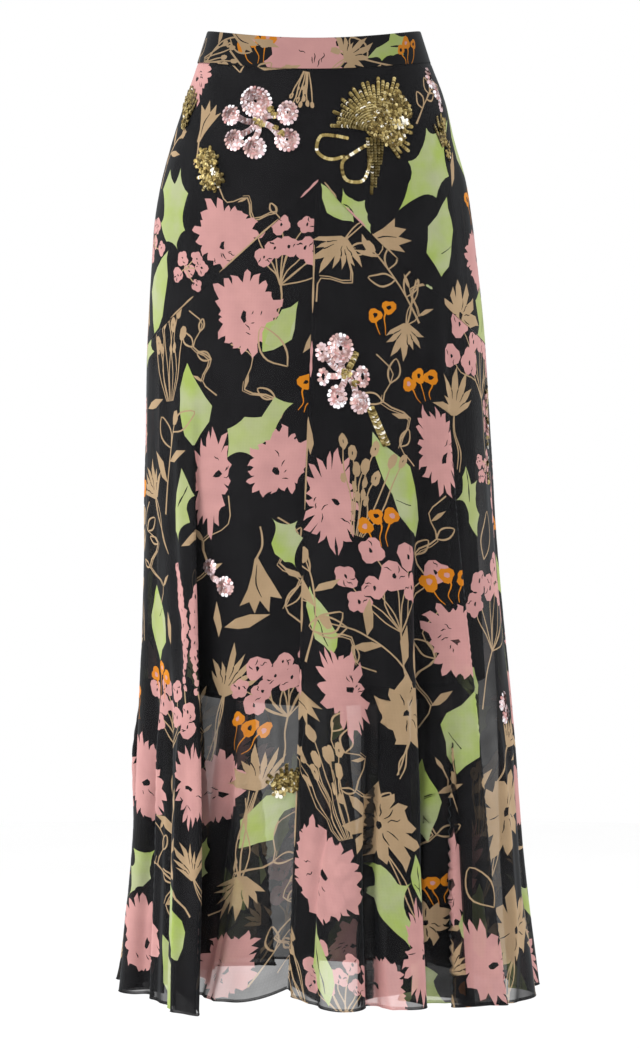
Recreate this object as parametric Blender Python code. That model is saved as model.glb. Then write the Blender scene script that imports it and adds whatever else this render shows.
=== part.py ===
"""A sheer printed skirt, worn-shaped and hollow, for Blender 4.5. Metres, +Z up, -Y is the front.

The origin is the centre of the waist, at mid height of the waistband above the side seams.
"Left" and "right" are the wearer's, so the left panels lie on +X.
"""
import math

import bpy
import numpy as np
from mathutils import Matrix, Vector

# Driving dimensions, in metres.
CLOTH_WALL = 0.0012
LINING_WALL = 0.0011
BAND_WALL = 0.0024
SEAM_GAP = 0.0003

BAND_HEIGHT = 0.033
BAND_TOP_HALF_WIDTH = 0.1125
BAND_TOP_HALF_DEPTH = 0.0950
BAND_SEAM_HALF_WIDTH = 0.1230
BAND_SEAM_HALF_DEPTH = 0.1030
BAND_PROUD = 0.0006
WAIST_DIP_FRONT = 0.0250
WAIST_RISE_BACK = 0.0030

SIDE_HEM_Z = -1.000
FRONT_HEM_RISE = 0.016
SKIRT_DROP = -SIDE_HEM_Z - BAND_HEIGHT / 2

YOKE_DROP_AT_CENTRE = 0.119
YOKE_DROP_AT_SIDE = 0.300

LINING_DROP = 0.648
LINING_FOLDS = 9
LINING_FOLD_DEPTH = 0.005

# How sharply a fold's depth grows from its start down to the hem, and how much a crest
# spreads over its troughs, from 0 for a plain wave to 1 for a closed pinch.
FOLD_GROWTH = 1.2
FOLD_SPREAD = 0.55

# Half-sizes of the cloth's plan at a drop below the waist seam, before the folds.
SECTIONS = {
    "columns": ("drop", "right", "left", "front", "back"),
    "rows": (
        (0.000, 0.1226, 0.1234, 0.1030, 0.1030),
        (0.040, 0.1360, 0.1385, 0.1090, 0.1110),
        (0.083, 0.1500, 0.1490, 0.1140, 0.1200),
        (0.125, 0.1615, 0.1610, 0.1180, 0.1280),
        (0.168, 0.1690, 0.1680, 0.1220, 0.1340),
        (0.210, 0.1720, 0.1730, 0.1250, 0.1380),
        (0.295, 0.1765, 0.1815, 0.1310, 0.1420),
        (0.400, 0.1780, 0.1860, 0.1380, 0.1460),
        (0.550, 0.1800, 0.1930, 0.1480, 0.1550),
        (0.700, 0.1815, 0.2020, 0.1580, 0.1640),
        (0.850, 0.1850, 0.2080, 0.1670, 0.1730),
        (0.985, 0.1940, 0.2190, 0.1740, 0.1800),
    ),
}

# The lining's plan, which stays inside the folds of the outer cloth.
LINING_SECTIONS = {
    "columns": ("drop", "right", "left", "front", "back"),
    "rows": (
        (0.000, 0.1208, 0.1216, 0.1013, 0.1013),
        (0.083, 0.1450, 0.1440, 0.1100, 0.1150),
        (0.168, 0.1610, 0.1600, 0.1160, 0.1270),
        (0.295, 0.1640, 0.1660, 0.1180, 0.1300),
        (0.400, 0.1640, 0.1690, 0.1200, 0.1300),
        (0.550, 0.1640, 0.1740, 0.1220, 0.1320),
        (0.660, 0.1660, 0.1800, 0.1240, 0.1340),
    ),
}

# One row for each fold, round from the right side seam over the front, in degrees from the
# centre front at the hem. A crest stands out from the plan and leans to the left side. The
# trough that follows it goes in, tucks back to the right under the crest, and lifts the hem by
# its rise. Drift is how far the fold lies to the left of that at the waist, and start is the
# drop where it begins.
FOLDS = {
    "columns": ("crest", "out", "lean", "trough", "inward", "tuck", "rise", "drift", "start"),
    "rows": (
        (-80.0, 0.014, 0.000, -67.0, 0.012, 0.000, 0.000, 3.0, 0.420),
        (-51.0, 0.030, 0.080, -44.5, 0.034, 0.056, 0.008, 7.0, 0.320),
        (-26.0, -0.016, -0.010, -13.0, 0.038, 0.000, 0.011, 16.0, 0.420),
        (2.0, 0.022, 0.010, 12.0, 0.006, 0.000, 0.000, 8.0, 0.380),
        (19.5, 0.020, 0.014, 36.0, 0.042, 0.030, 0.000, 5.0, 0.230),
        (41.0, 0.036, 0.030, 49.5, -0.002, 0.046, 0.000, 3.0, 0.170),
        (66.0, 0.026, 0.000, 87.0, 0.012, 0.000, 0.000, 1.0, 0.300),
        (99.0, 0.024, -0.006, 111.0, 0.026, 0.000, 0.000, -4.0, 0.320),
        (124.0, 0.034, 0.050, 136.0, 0.026, 0.060, 0.000, -6.0, 0.220),
        (147.0, 0.022, 0.056, 158.0, 0.034, 0.050, 0.000, -3.0, 0.260),
        (169.0, 0.030, 0.052, 180.0, 0.018, 0.046, 0.000, 0.0, 0.220),
        (203.0, 0.034, 0.050, 213.0, 0.030, 0.048, 0.000, 3.0, 0.240),
        (225.0, 0.024, 0.046, 235.0, 0.024, 0.044, 0.000, 5.0, 0.220),
        (247.0, 0.030, 0.016, 258.0, 0.026, 0.016, 0.000, 6.0, 0.200),
        (264.0, 0.012, 0.000, 272.0, 0.012, 0.000, 0.000, 0.0, 0.360),
    ),
}

# Knots are the crests and troughs in order, so an even knot is a crest. Each seam runs down
# one knot.
RIGHT_SIDE_KNOT = -1.0
CENTRE_FRONT_KNOT = 5.0
LEFT_SIDE_KNOT = 13.0
CENTRE_BACK_KNOT = 21.0
KNOT_TURN = 30.0
STEPS_PER_KNOT = 6

PANEL_ROWS = 13
BACK_ROWS = 16
YOKE_ROWS = 5
BAND_ROWS = 1
LINING_ROWS = 7
LINING_COLUMNS = 28
BACK_BAND_COLUMNS = 24
SHARP_ANGLE_DEG = 50.0

# The concealed zip's slider and pull, in the plane of the band's face at the centre back:
# half-widths against places along it, upwards from the pull's axis.
SLIDER_OUTLINE = {
    "columns": ("half_width", "along"),
    "rows": ((0.0014, 0.0040), (0.0025, 0.0026), (0.0025, -0.0020), (0.0017, -0.0042)),
}
SLIDER_CLEARANCE = 0.0003
SLIDER_THICKNESS = 0.0014
AXIS_BELOW_BAND_TOP = 0.0065
AXIS_ABOVE_BAND = 0.0031
BAIL_OUTER_RADIUS = 0.0022
BAIL_INNER_RADIUS = 0.0012
BAIL_WIDTH = 0.0016
BAIL_SIDES = 16

# The pull's outline, with the point of its eye that each point faces.
PULL_OUTLINE = {
    "columns": ("half_width", "along", "eye_half_width", "eye_along"),
    "rows": (
        (0.0000, 0.0005, 0.0000, -0.0005),
        (0.0017, 0.0005, 0.0012, -0.0005),
        (0.0022, -0.0002, 0.0012, -0.0011),
        (0.0023, -0.0029, 0.0012, -0.0022),
        (0.0026, -0.0062, 0.0012, -0.0029),
        (0.0033, -0.0125, 0.0008, -0.0029),
        (0.0025, -0.0158, 0.0004, -0.0029),
        (0.0000, -0.0171, 0.0000, -0.0029),
    ),
}
PULL_THICKNESS = 0.0010
METAL_EDGE = 0.00015
PULL_LEAN_DEG = 6.5


def clear_scene():
    for old in list(bpy.data.objects):
        bpy.data.objects.remove(old, do_unlink=True)


def material(name, colour, roughness, metallic=0.0):
    """A Principled material of one colour, in linear values."""
    made = bpy.data.materials.new(name)
    made.use_nodes = True
    shader = made.node_tree.nodes["Principled BSDF"]
    shader.inputs["Base Color"].default_value = (*colour, 1.0)
    shader.inputs["Roughness"].default_value = roughness
    shader.inputs["Metallic"].default_value = metallic
    made.diffuse_color = (*colour, 1.0)
    return made


def smooth_between(x, xs, ys):
    """A smooth curve through the points (xs, ys), flat beyond them, read at x."""
    xs = np.asarray(xs, float)
    ys = np.asarray(ys, float)
    slopes = np.gradient(ys, xs)
    x = np.clip(x, xs[0], xs[-1])
    i = np.clip(np.searchsorted(xs, x, side="right") - 1, 0, len(xs) - 2)
    width = xs[i + 1] - xs[i]
    s = (x - xs[i]) / width
    start = (1 + 2 * s) * (1 - s) ** 2
    end = s * s * (3 - 2 * s)
    leave = s * (1 - s) ** 2 * width
    arrive = s * s * (s - 1) * width
    return start * ys[i] + end * ys[i + 1] + leave * slopes[i] + arrive * slopes[i + 1]


def table_column(table, name):
    place = table["columns"].index(name)
    return [row[place] for row in table["rows"]]


def plan_at(table, drop):
    """Centre x, centre y, half-width and half-depth of a table's plan at a drop."""
    drops = table_column(table, "drop")
    right, left, front, back = (
        smooth_between(drop, drops, table_column(table, name))
        for name in ("right", "left", "front", "back")
    )
    return (left - right) / 2, (back - front) / 2, (left + right) / 2, (front + back) / 2


def waist_seam_z(angle):
    """Height of the seam under the band: level at the sides, dipping at the front."""
    across = (WAIST_DIP_FRONT + WAIST_RISE_BACK) / 2
    both = (WAIST_DIP_FRONT - WAIST_RISE_BACK) / 2
    return -BAND_HEIGHT / 2 - across * np.cos(angle) - both * np.cos(angle) ** 2


def hem_z(angle):
    return SIDE_HEM_Z + FRONT_HEM_RISE * ((1 + np.cos(angle)) / 2) ** 2


def yoke_share(angle):
    """How far down the skirt, from 0 to 1, the yoke's pointed seam lies."""
    drop = YOKE_DROP_AT_CENTRE + (YOKE_DROP_AT_SIDE - YOKE_DROP_AT_CENTRE) * np.abs(np.sin(angle))
    return drop / SKIRT_DROP


def knot_values():
    """Arrays over the knots: hem angle, drift, radial height, lean, hem rise and start."""
    crest, out, lean, trough, inward, tuck, rise, drift, start = (
        np.array(table_column(FOLDS, name)) for name in FOLDS["columns"]
    )
    none = np.zeros_like(lean)
    pairs = ((crest, trough), (drift, drift), (out, -inward), (lean, -tuck), (none, rise))
    return [np.stack(pair, axis=1).ravel() for pair in (*pairs, (start, start))]


KNOT_ANGLE, KNOT_DRIFT, KNOT_HEIGHT, KNOT_LEAN, KNOT_RISE, KNOT_START = knot_values()


def at_knot(values, knot, turn=0.0):
    """A knot's value, where each whole turn round the skirt adds turn."""
    count = len(values)
    return values[knot % count] + turn * (knot // count)


def knot_angle(knot, down):
    """A knot's angle in radians at a share of the way down."""
    hem = at_knot(KNOT_ANGLE, knot, 360.0)
    return np.radians(hem + at_knot(KNOT_DRIFT, knot) * (1 - down))


def knot_growth(knot, drop):
    """How much of a knot's hem size it has reached at a drop, from 0 to 1."""
    start = at_knot(KNOT_START, knot)
    return np.clip((drop - start) / (SKIRT_DROP - start), 0.0, 1.0) ** FOLD_GROWTH


def fold_place(knot, drop):
    """Angle, radial height, sideways shift and hem rise at a place between two knots."""
    low = np.floor(knot).astype(int)
    high = low + 1
    part_way = knot - low
    ease = (1 - np.cos(np.pi * part_way)) / 2
    low_growth = knot_growth(low, drop) * (1 - ease)
    high_growth = knot_growth(high, drop) * ease

    def eased(values):
        return at_knot(values, low) * low_growth + at_knot(values, high) * high_growth

    down = np.clip(drop / SKIRT_DROP, 0.0, 1.0)
    low_angle = knot_angle(low, down)
    gap = knot_angle(high, down) - low_angle
    angle = low_angle + gap * part_way
    half_width, half_depth = plan_at(SECTIONS, drop)[2:]
    arc = gap * np.hypot(half_width * np.cos(angle), half_depth * np.sin(angle))
    away_from_crest = np.where(low % 2 == 0, 1.0, -1.0)
    growth = np.sqrt((knot_growth(low, drop) + knot_growth(high, drop)) / 2)
    spread = FOLD_SPREAD / np.pi * away_from_crest * growth * arc * np.sin(np.pi * part_way)
    return angle, eased(KNOT_HEIGHT), eased(KNOT_LEAN) + spread, eased(KNOT_RISE)


def skirt_point(knot, down):
    """Points of the outer cloth's face, at a knot and a share of the way from seam to hem."""
    drop = down * SKIRT_DROP
    angle, height, sideways, rise = fold_place(knot, drop)
    centre_x, centre_y, half_width, half_depth = plan_at(SECTIONS, drop)
    sine = np.sin(angle)
    cosine = np.cos(angle)
    out_x = sine / half_width
    out_y = -cosine / half_depth
    length = np.hypot(out_x, out_y)
    out_x = out_x / length
    out_y = out_y / length
    x = centre_x + half_width * sine + out_x * height - out_y * sideways
    y = centre_y - half_depth * cosine + out_y * height + out_x * sideways
    top = waist_seam_z(angle)
    z = top + down * (hem_z(angle) - top) + rise
    return np.stack([x, y, z], axis=-1)


def band_point(angle, down):
    """Points of the band's outer face, from its top edge down to its seam."""
    half_width = BAND_TOP_HALF_WIDTH + (BAND_SEAM_HALF_WIDTH - BAND_TOP_HALF_WIDTH) * down
    half_depth = BAND_TOP_HALF_DEPTH + (BAND_SEAM_HALF_DEPTH - BAND_TOP_HALF_DEPTH) * down
    x = (half_width + BAND_PROUD) * np.sin(angle)
    y = -(half_depth + BAND_PROUD) * np.cos(angle)
    z = waist_seam_z(angle) + BAND_HEIGHT - down * (BAND_HEIGHT - SEAM_GAP / 2)
    return np.stack([x, y, z], axis=-1)


def lining_point(angle, down):
    """Points of the lining's outer face."""
    drop = down * LINING_DROP
    centre_x, centre_y, half_width, half_depth = plan_at(LINING_SECTIONS, drop)
    ripple = LINING_FOLD_DEPTH * down * np.abs(down) * np.cos(LINING_FOLDS * angle)
    x = centre_x + (half_width + ripple) * np.sin(angle)
    y = centre_y - (half_depth + ripple) * np.cos(angle)
    z = waist_seam_z(angle) - SEAM_GAP - drop
    return np.stack([x, y, z], axis=-1)


def edge_inset(point_at, first, second, towards, distance):
    """How far to move a parameter so that the point moves that distance across a seam."""
    step = 1e-4
    moved = point_at(first + towards[0] * step, second + towards[1] * step)
    speed = np.linalg.norm(moved - point_at(first, second), axis=-1) / step
    return distance / speed


def level_normals(point_at, first, second):
    """Unit vectors out of the face, laid level so that a piece's edges stay level."""
    step = 1e-4
    across = point_at(first + step, second) - point_at(first - step, second)
    along = point_at(first, second + step) - point_at(first, second - step)
    normal = np.cross(along, across)
    normal[..., 2] = 0.0
    return normal / np.linalg.norm(normal, axis=-1, keepdims=True)


def wall_between(outer, inner):
    """Vertices and faces of the closed wall between two grids of points."""
    columns, rows = outer.shape[:2]
    count = columns * rows
    vertices = np.concatenate([outer.reshape(-1, 3), inner.reshape(-1, 3)])

    def place(i, j, side):
        return side * count + i * rows + j

    faces = []
    for i in range(columns - 1):
        for j in range(rows - 1):
            corners = ((i, j), (i, j + 1), (i + 1, j + 1), (i + 1, j))
            faces.append([place(a, b, 0) for a, b in corners])
            faces.append([place(a, b, 1) for a, b in reversed(corners)])
    for i in range(columns - 1):
        for j, flip in ((0, False), (rows - 1, True)):
            rim = [place(i, j, 0), place(i + 1, j, 0), place(i + 1, j, 1), place(i, j, 1)]
            faces.append(rim[::-1] if flip else rim)
    for j in range(rows - 1):
        for i, flip in ((0, True), (columns - 1, False)):
            rim = [place(i, j, 0), place(i, j + 1, 0), place(i, j + 1, 1), place(i, j, 1)]
            faces.append(rim[::-1] if flip else rim)
    return vertices, faces


def add_empty(name, placing):
    """An empty that carries the pieces placed from it."""
    made = bpy.data.objects.new(name, None)
    made.matrix_world = placing
    bpy.context.scene.collection.objects.link(made)
    return made


def add_object(name, vertices, faces, finish, parent):
    mesh = bpy.data.meshes.new(name)
    mesh.from_pydata([tuple(v) for v in vertices], [], faces)
    mesh.materials.append(finish)
    mesh.shade_smooth()
    mesh.set_sharp_from_angle(angle=math.radians(SHARP_ANGLE_DEG))
    made = bpy.data.objects.new(name, mesh)
    made.parent = parent
    bpy.context.scene.collection.objects.link(made)
    return made


def cloth_wall(name, point_at, first, second, wall, finish, waist):
    """A wall of cloth inside the outer face that point_at gives over a grid."""
    outer = point_at(first, second)
    inner = outer - wall * level_normals(point_at, first, second)
    vertices, faces = wall_between(outer, inner)
    return add_object(name, vertices, faces, finish, waist)


def skirt_panel(name, knots, top_share, bottom_share, rows, finish, waist):
    """A panel between two knots, from one share of the drop to another, parted at its seams."""
    steps = int(round((knots[1] - knots[0]) * STEPS_PER_KNOT)) + 1
    knot = np.linspace(knots[0], knots[1], steps)
    share = shares(rows)
    first = np.repeat(knot[:, None], rows + 1, axis=1)
    half_gap = SEAM_GAP / 2
    for edge, towards in ((0, 1.0), (-1, -1.0)):
        level = share.copy()
        first[edge] += towards * edge_inset(skirt_point, first[edge], level, (towards, 0.0), half_gap)
    angle = fold_place(first, YOKE_DROP_AT_SIDE)[0][:, :1]
    top = top_share(angle) + half_gap / SKIRT_DROP
    bottom = bottom_share(angle)
    second = top + (bottom - top) * share[None, :]
    return cloth_wall(name, skirt_point, first, second, CLOTH_WALL, finish, waist)


def at_waist(angle):
    return np.zeros_like(angle)


def at_hem(angle):
    return np.ones_like(angle)


def above_yoke_seam(angle):
    return yoke_share(angle) - SEAM_GAP / 2 / SKIRT_DROP


def seam_angle(knot, drop=0.0):
    return float(fold_place(np.array([knot]), np.array([drop]))[0][0])


def arc_of(start, end, columns, radius):
    """Angles round a panel, held back at each end by half a seam gap."""
    trim = SEAM_GAP / 2 / radius
    return np.linspace(start + trim, end - trim, columns + 1)


def shares(count):
    return np.linspace(0.0, 1.0, count + 1)


def build_skirt(finish, waist):
    right, front = RIGHT_SIDE_KNOT, CENTRE_FRONT_KNOT
    left, back = LEFT_SIDE_KNOT, CENTRE_BACK_KNOT
    again = RIGHT_SIDE_KNOT + KNOT_TURN
    pieces = (
        ("yoke_front", right, left, at_waist, above_yoke_seam, YOKE_ROWS),
        ("skirt_front_right", right, front, yoke_share, at_hem, PANEL_ROWS),
        ("skirt_front_left", front, left, yoke_share, at_hem, PANEL_ROWS),
        ("skirt_back_left", left, back, at_waist, at_hem, BACK_ROWS),
        ("skirt_back_right", back, again, at_waist, at_hem, BACK_ROWS),
    )
    for name, start, end, top, bottom, rows in pieces:
        skirt_panel(name, (start, end), top, bottom, rows, finish, waist)


def build_bands(finish, waist):
    right = seam_angle(RIGHT_SIDE_KNOT)
    left = seam_angle(LEFT_SIDE_KNOT)
    back = seam_angle(CENTRE_BACK_KNOT)
    again = seam_angle(RIGHT_SIDE_KNOT + KNOT_TURN)
    pieces = (
        ("waistband_front", right, left, 2 * BACK_BAND_COLUMNS),
        ("waistband_back_left", left, back, BACK_BAND_COLUMNS),
        ("waistband_back_right", back, again, BACK_BAND_COLUMNS),
    )
    for name, start, end, columns in pieces:
        angle = arc_of(start, end, columns, BAND_TOP_HALF_DEPTH)
        first, second = np.meshgrid(angle, shares(BAND_ROWS), indexing="ij")
        cloth_wall(name, band_point, first, second, BAND_WALL, finish, waist)


def build_lining(finish, waist):
    right = seam_angle(RIGHT_SIDE_KNOT)
    left = seam_angle(LEFT_SIDE_KNOT)
    again = seam_angle(RIGHT_SIDE_KNOT + KNOT_TURN)
    for name, start, end in (("lining_front", right, left), ("lining_back", left, again)):
        angle = arc_of(start, end, LINING_COLUMNS, BAND_SEAM_HALF_DEPTH)
        first, second = np.meshgrid(angle, shares(LINING_ROWS), indexing="ij")
        cloth_wall(name, lining_point, first, second, LINING_WALL, finish, waist)


def zip_frame():
    """A matrix for the zip: X across, Y out from the cloth, Z up the band, at the pull's axis."""
    back = seam_angle(CENTRE_BACK_KNOT)
    share = AXIS_BELOW_BAND_TOP / BAND_HEIGHT
    foot, above = band_point(np.array([back, back]), np.array([share, 0.0]))
    slope = Vector(above - foot).normalized()
    across = Vector((1.0, 0.0, 0.0))
    out = slope.cross(across)
    turn = Matrix((across, out, slope)).transposed().to_4x4()
    return Matrix.Translation(Vector(foot) + out * AXIS_ABOVE_BAND) @ turn


def prism(points, low, high):
    """Vertices and faces of an outline given in X and Z, extruded along Y from low to high."""
    count = len(points)
    vertices = [(x, y, z) for y in (low, high) for x, z in points]
    faces = [list(range(count)), list(range(2 * count - 1, count - 1, -1))]
    for i in range(count):
        j = (i + 1) % count
        faces.append([j, i, i + count, j + count])
    return vertices, faces


def ring(points, holes, low, high):
    """The same for an outline with a hole, where each outline point faces a point of the hole."""
    count = len(points)
    vertices = [(x, y, z) for y in (low, high) for loop in (points, holes) for x, z in loop]
    faces = []
    for i in range(count):
        j = (i + 1) % count
        near, hole, far, far_hole = (i + k * count for k in range(4))
        near_next, hole_next, far_next, far_hole_next = (j + k * count for k in range(4))
        faces.append([near, hole, hole_next, near_next])
        faces.append([far, far_next, far_hole_next, far_hole])
        faces.append([near_next, far_next, far, near])
        faces.append([hole, far_hole, far_hole_next, hole_next])
    return vertices, faces


def mirrored(table, across, along):
    """A closed outline from a table of one half, run down the right and up the left."""
    first = table["rows"][0][0]
    half = list(zip(table_column(table, across), table_column(table, along)))
    inner = half[1:-1] if first == 0 else half
    return half + [(-x, z) for x, z in reversed(inner)]


def circle(radius, sides):
    turns = [math.tau * i / sides for i in range(sides)]
    return [(radius * math.cos(turn), radius * math.sin(turn)) for turn in turns]


def turned_prism(points, holes, half_width):
    """A ring whose axis runs along X, from outlines given in Y and Z."""
    vertices, faces = ring(points, holes, -half_width, half_width)
    return [(y, x, z) for x, y, z in vertices], [face[::-1] for face in faces]


def united(name, first, second, finish, parent):
    """One closed body from two that overlap."""
    union = first.modifiers.new("union", "BOOLEAN")
    union.operation = "UNION"
    union.solver = "EXACT"
    union.object = second
    graph = bpy.context.evaluated_depsgraph_get()
    whole = bpy.data.meshes.new_from_object(first.evaluated_get(graph))
    whole.name = name
    bpy.data.objects.remove(first, do_unlink=True)
    bpy.data.objects.remove(second, do_unlink=True)
    whole.materials.clear()
    whole.materials.append(finish)
    made = bpy.data.objects.new(name, whole)
    made.parent = parent
    bpy.context.scene.collection.objects.link(made)
    return made


def round_edges(piece):
    bevel = piece.modifiers.new("edges", "BEVEL")
    bevel.width = METAL_EDGE
    bevel.segments = 1
    bevel.limit_method = "ANGLE"
    bevel.angle_limit = math.radians(SHARP_ANGLE_DEG)


def build_slider(finish, axis):
    low = SLIDER_CLEARANCE - AXIS_ABOVE_BAND
    plate = prism(mirrored(SLIDER_OUTLINE, "half_width", "along"), low, low + SLIDER_THICKNESS)
    bail = turned_prism(
        circle(BAIL_OUTER_RADIUS, BAIL_SIDES), circle(BAIL_INNER_RADIUS, BAIL_SIDES), BAIL_WIDTH / 2
    )
    body = add_object("slider_plate", *plate, finish, axis)
    loop = add_object("slider_bail", *bail, finish, axis)
    slider = united("zip_slider", body, loop, finish, axis)
    round_edges(slider)


def build_pull(finish, axis):
    outline = mirrored(PULL_OUTLINE, "half_width", "along")
    eye = mirrored(PULL_OUTLINE, "eye_half_width", "eye_along")
    half = PULL_THICKNESS / 2
    pull = add_object("zip_pull", *ring(outline, eye, -half, half), finish, axis)
    pull.rotation_euler.x = math.radians(-PULL_LEAN_DEG)
    round_edges(pull)


def main():
    clear_scene()
    chiffon = material("chiffon", (0.010, 0.010, 0.012), 0.75)
    lining = material("lining", (0.006, 0.006, 0.007), 0.55)
    zip_metal = material("zip_metal", (0.030, 0.030, 0.032), 0.35, metallic=1.0)
    waist = add_empty("waist", Matrix.Identity(4))
    build_skirt(chiffon, waist)
    build_bands(chiffon, waist)
    build_lining(lining, waist)
    zip_axis = add_empty("zip_axis", zip_frame())
    zip_axis.parent = waist
    build_slider(zip_metal, zip_axis)
    build_pull(zip_metal, zip_axis)


main()
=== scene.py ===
import math
import random

import bpy
import numpy as np
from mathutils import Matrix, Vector, geometry


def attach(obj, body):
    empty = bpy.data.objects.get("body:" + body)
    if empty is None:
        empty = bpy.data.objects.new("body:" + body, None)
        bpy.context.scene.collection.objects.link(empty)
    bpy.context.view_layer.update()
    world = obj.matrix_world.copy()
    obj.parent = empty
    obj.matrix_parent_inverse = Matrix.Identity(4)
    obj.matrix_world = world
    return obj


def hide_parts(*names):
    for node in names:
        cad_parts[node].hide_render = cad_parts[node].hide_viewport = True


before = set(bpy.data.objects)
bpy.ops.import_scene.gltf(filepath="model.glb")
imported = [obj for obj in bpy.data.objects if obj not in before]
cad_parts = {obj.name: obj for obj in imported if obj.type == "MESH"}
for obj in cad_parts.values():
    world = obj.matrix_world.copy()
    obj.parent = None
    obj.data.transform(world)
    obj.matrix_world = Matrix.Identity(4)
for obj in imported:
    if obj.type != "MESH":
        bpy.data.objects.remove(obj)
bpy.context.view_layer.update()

MM = 0.001

# The form of the cloth, repeated from the part's own source.
SEAM_GAP = 0.0003

BAND_HEIGHT = 0.033
BAND_TOP_HALF_WIDTH = 0.1125
BAND_TOP_HALF_DEPTH = 0.0950
BAND_SEAM_HALF_WIDTH = 0.1230
BAND_SEAM_HALF_DEPTH = 0.1030
BAND_PROUD = 0.0006
WAIST_DIP_FRONT = 0.0250
WAIST_RISE_BACK = 0.0030

SIDE_HEM_Z = -1.000
FRONT_HEM_RISE = 0.016
SKIRT_DROP = -SIDE_HEM_Z - BAND_HEIGHT / 2

YOKE_DROP_AT_CENTRE = 0.119
YOKE_DROP_AT_SIDE = 0.300

LINING_DROP = 0.648
LINING_FOLDS = 9
LINING_FOLD_DEPTH = 0.005

# How sharply a fold's depth grows from its start down to the hem, and how much a crest
# spreads over its troughs, from 0 for a plain wave to 1 for a closed pinch.
FOLD_GROWTH = 1.2
FOLD_SPREAD = 0.55

# Half-sizes of the cloth's plan at a drop below the waist seam, before the folds.
SECTIONS = {
    "columns": ("drop", "right", "left", "front", "back"),
    "rows": (
        (0.000, 0.1226, 0.1234, 0.1030, 0.1030),
        (0.040, 0.1360, 0.1385, 0.1090, 0.1110),
        (0.083, 0.1500, 0.1490, 0.1140, 0.1200),
        (0.125, 0.1615, 0.1610, 0.1180, 0.1280),
        (0.168, 0.1690, 0.1680, 0.1220, 0.1340),
        (0.210, 0.1720, 0.1730, 0.1250, 0.1380),
        (0.295, 0.1765, 0.1815, 0.1310, 0.1420),
        (0.400, 0.1780, 0.1860, 0.1380, 0.1460),
        (0.550, 0.1800, 0.1930, 0.1480, 0.1550),
        (0.700, 0.1815, 0.2020, 0.1580, 0.1640),
        (0.850, 0.1850, 0.2080, 0.1670, 0.1730),
        (0.985, 0.1940, 0.2190, 0.1740, 0.1800),
    ),
}

# The lining's plan, which stays inside the folds of the outer cloth.
LINING_SECTIONS = {
    "columns": ("drop", "right", "left", "front", "back"),
    "rows": (
        (0.000, 0.1208, 0.1216, 0.1013, 0.1013),
        (0.083, 0.1450, 0.1440, 0.1100, 0.1150),
        (0.168, 0.1610, 0.1600, 0.1160, 0.1270),
        (0.295, 0.1640, 0.1660, 0.1180, 0.1300),
        (0.400, 0.1640, 0.1690, 0.1200, 0.1300),
        (0.550, 0.1640, 0.1740, 0.1220, 0.1320),
        (0.660, 0.1660, 0.1800, 0.1240, 0.1340),
    ),
}

# One row for each fold, round from the right side seam over the front, in degrees from the
# centre front at the hem. A crest stands out from the plan and leans to the left side. The
# trough that follows it goes in, tucks back to the right under the crest, and lifts the hem by
# its rise. Drift is how far the fold lies to the left of that at the waist, and start is the
# drop where it begins.
FOLDS = {
    "columns": ("crest", "out", "lean", "trough", "inward", "tuck", "rise", "drift", "start"),
    "rows": (
        (-80.0, 0.014, 0.000, -67.0, 0.012, 0.000, 0.000, 3.0, 0.420),
        (-51.0, 0.030, 0.080, -44.5, 0.034, 0.056, 0.008, 7.0, 0.320),
        (-26.0, -0.016, -0.010, -13.0, 0.038, 0.000, 0.011, 16.0, 0.420),
        (2.0, 0.022, 0.010, 12.0, 0.006, 0.000, 0.000, 8.0, 0.380),
        (19.5, 0.020, 0.014, 36.0, 0.042, 0.030, 0.000, 5.0, 0.230),
        (41.0, 0.036, 0.030, 49.5, -0.002, 0.046, 0.000, 3.0, 0.170),
        (66.0, 0.026, 0.000, 87.0, 0.012, 0.000, 0.000, 1.0, 0.300),
        (99.0, 0.024, -0.006, 111.0, 0.026, 0.000, 0.000, -4.0, 0.320),
        (124.0, 0.034, 0.050, 136.0, 0.026, 0.060, 0.000, -6.0, 0.220),
        (147.0, 0.022, 0.056, 158.0, 0.034, 0.050, 0.000, -3.0, 0.260),
        (169.0, 0.030, 0.052, 180.0, 0.018, 0.046, 0.000, 0.0, 0.220),
        (203.0, 0.034, 0.050, 213.0, 0.030, 0.048, 0.000, 3.0, 0.240),
        (225.0, 0.024, 0.046, 235.0, 0.024, 0.044, 0.000, 5.0, 0.220),
        (247.0, 0.030, 0.016, 258.0, 0.026, 0.016, 0.000, 6.0, 0.200),
        (264.0, 0.012, 0.000, 272.0, 0.012, 0.000, 0.000, 0.0, 0.360),
    ),
}

# Knots are the crests and troughs in order, so an even knot is a crest. Each seam runs down
# one knot.
RIGHT_SIDE_KNOT = -1.0
CENTRE_FRONT_KNOT = 5.0
LEFT_SIDE_KNOT = 13.0
CENTRE_BACK_KNOT = 21.0
KNOT_TURN = 30.0


def cubic_weights(s):
    """The weights of a span's start, end, leaving slope and arriving slope, at a share s of it."""
    return (1 + 2 * s) * (1 - s) ** 2, s * s * (3 - 2 * s), s * (1 - s) ** 2, s * s * (s - 1)


def smooth_between(x, xs, ys):
    """A smooth curve through the points (xs, ys), flat beyond them, read at x."""
    xs = np.asarray(xs, float)
    ys = np.asarray(ys, float)
    slopes = np.gradient(ys, xs)
    x = np.clip(x, xs[0], xs[-1])
    i = np.clip(np.searchsorted(xs, x, side="right") - 1, 0, len(xs) - 2)
    width = xs[i + 1] - xs[i]
    start, end, leave, arrive = cubic_weights((x - xs[i]) / width)
    ends = start * ys[i] + end * ys[i + 1]
    return ends + leave * width * slopes[i] + arrive * width * slopes[i + 1]


def table_column(table, name):
    place = table["columns"].index(name)
    return [row[place] for row in table["rows"]]


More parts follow.
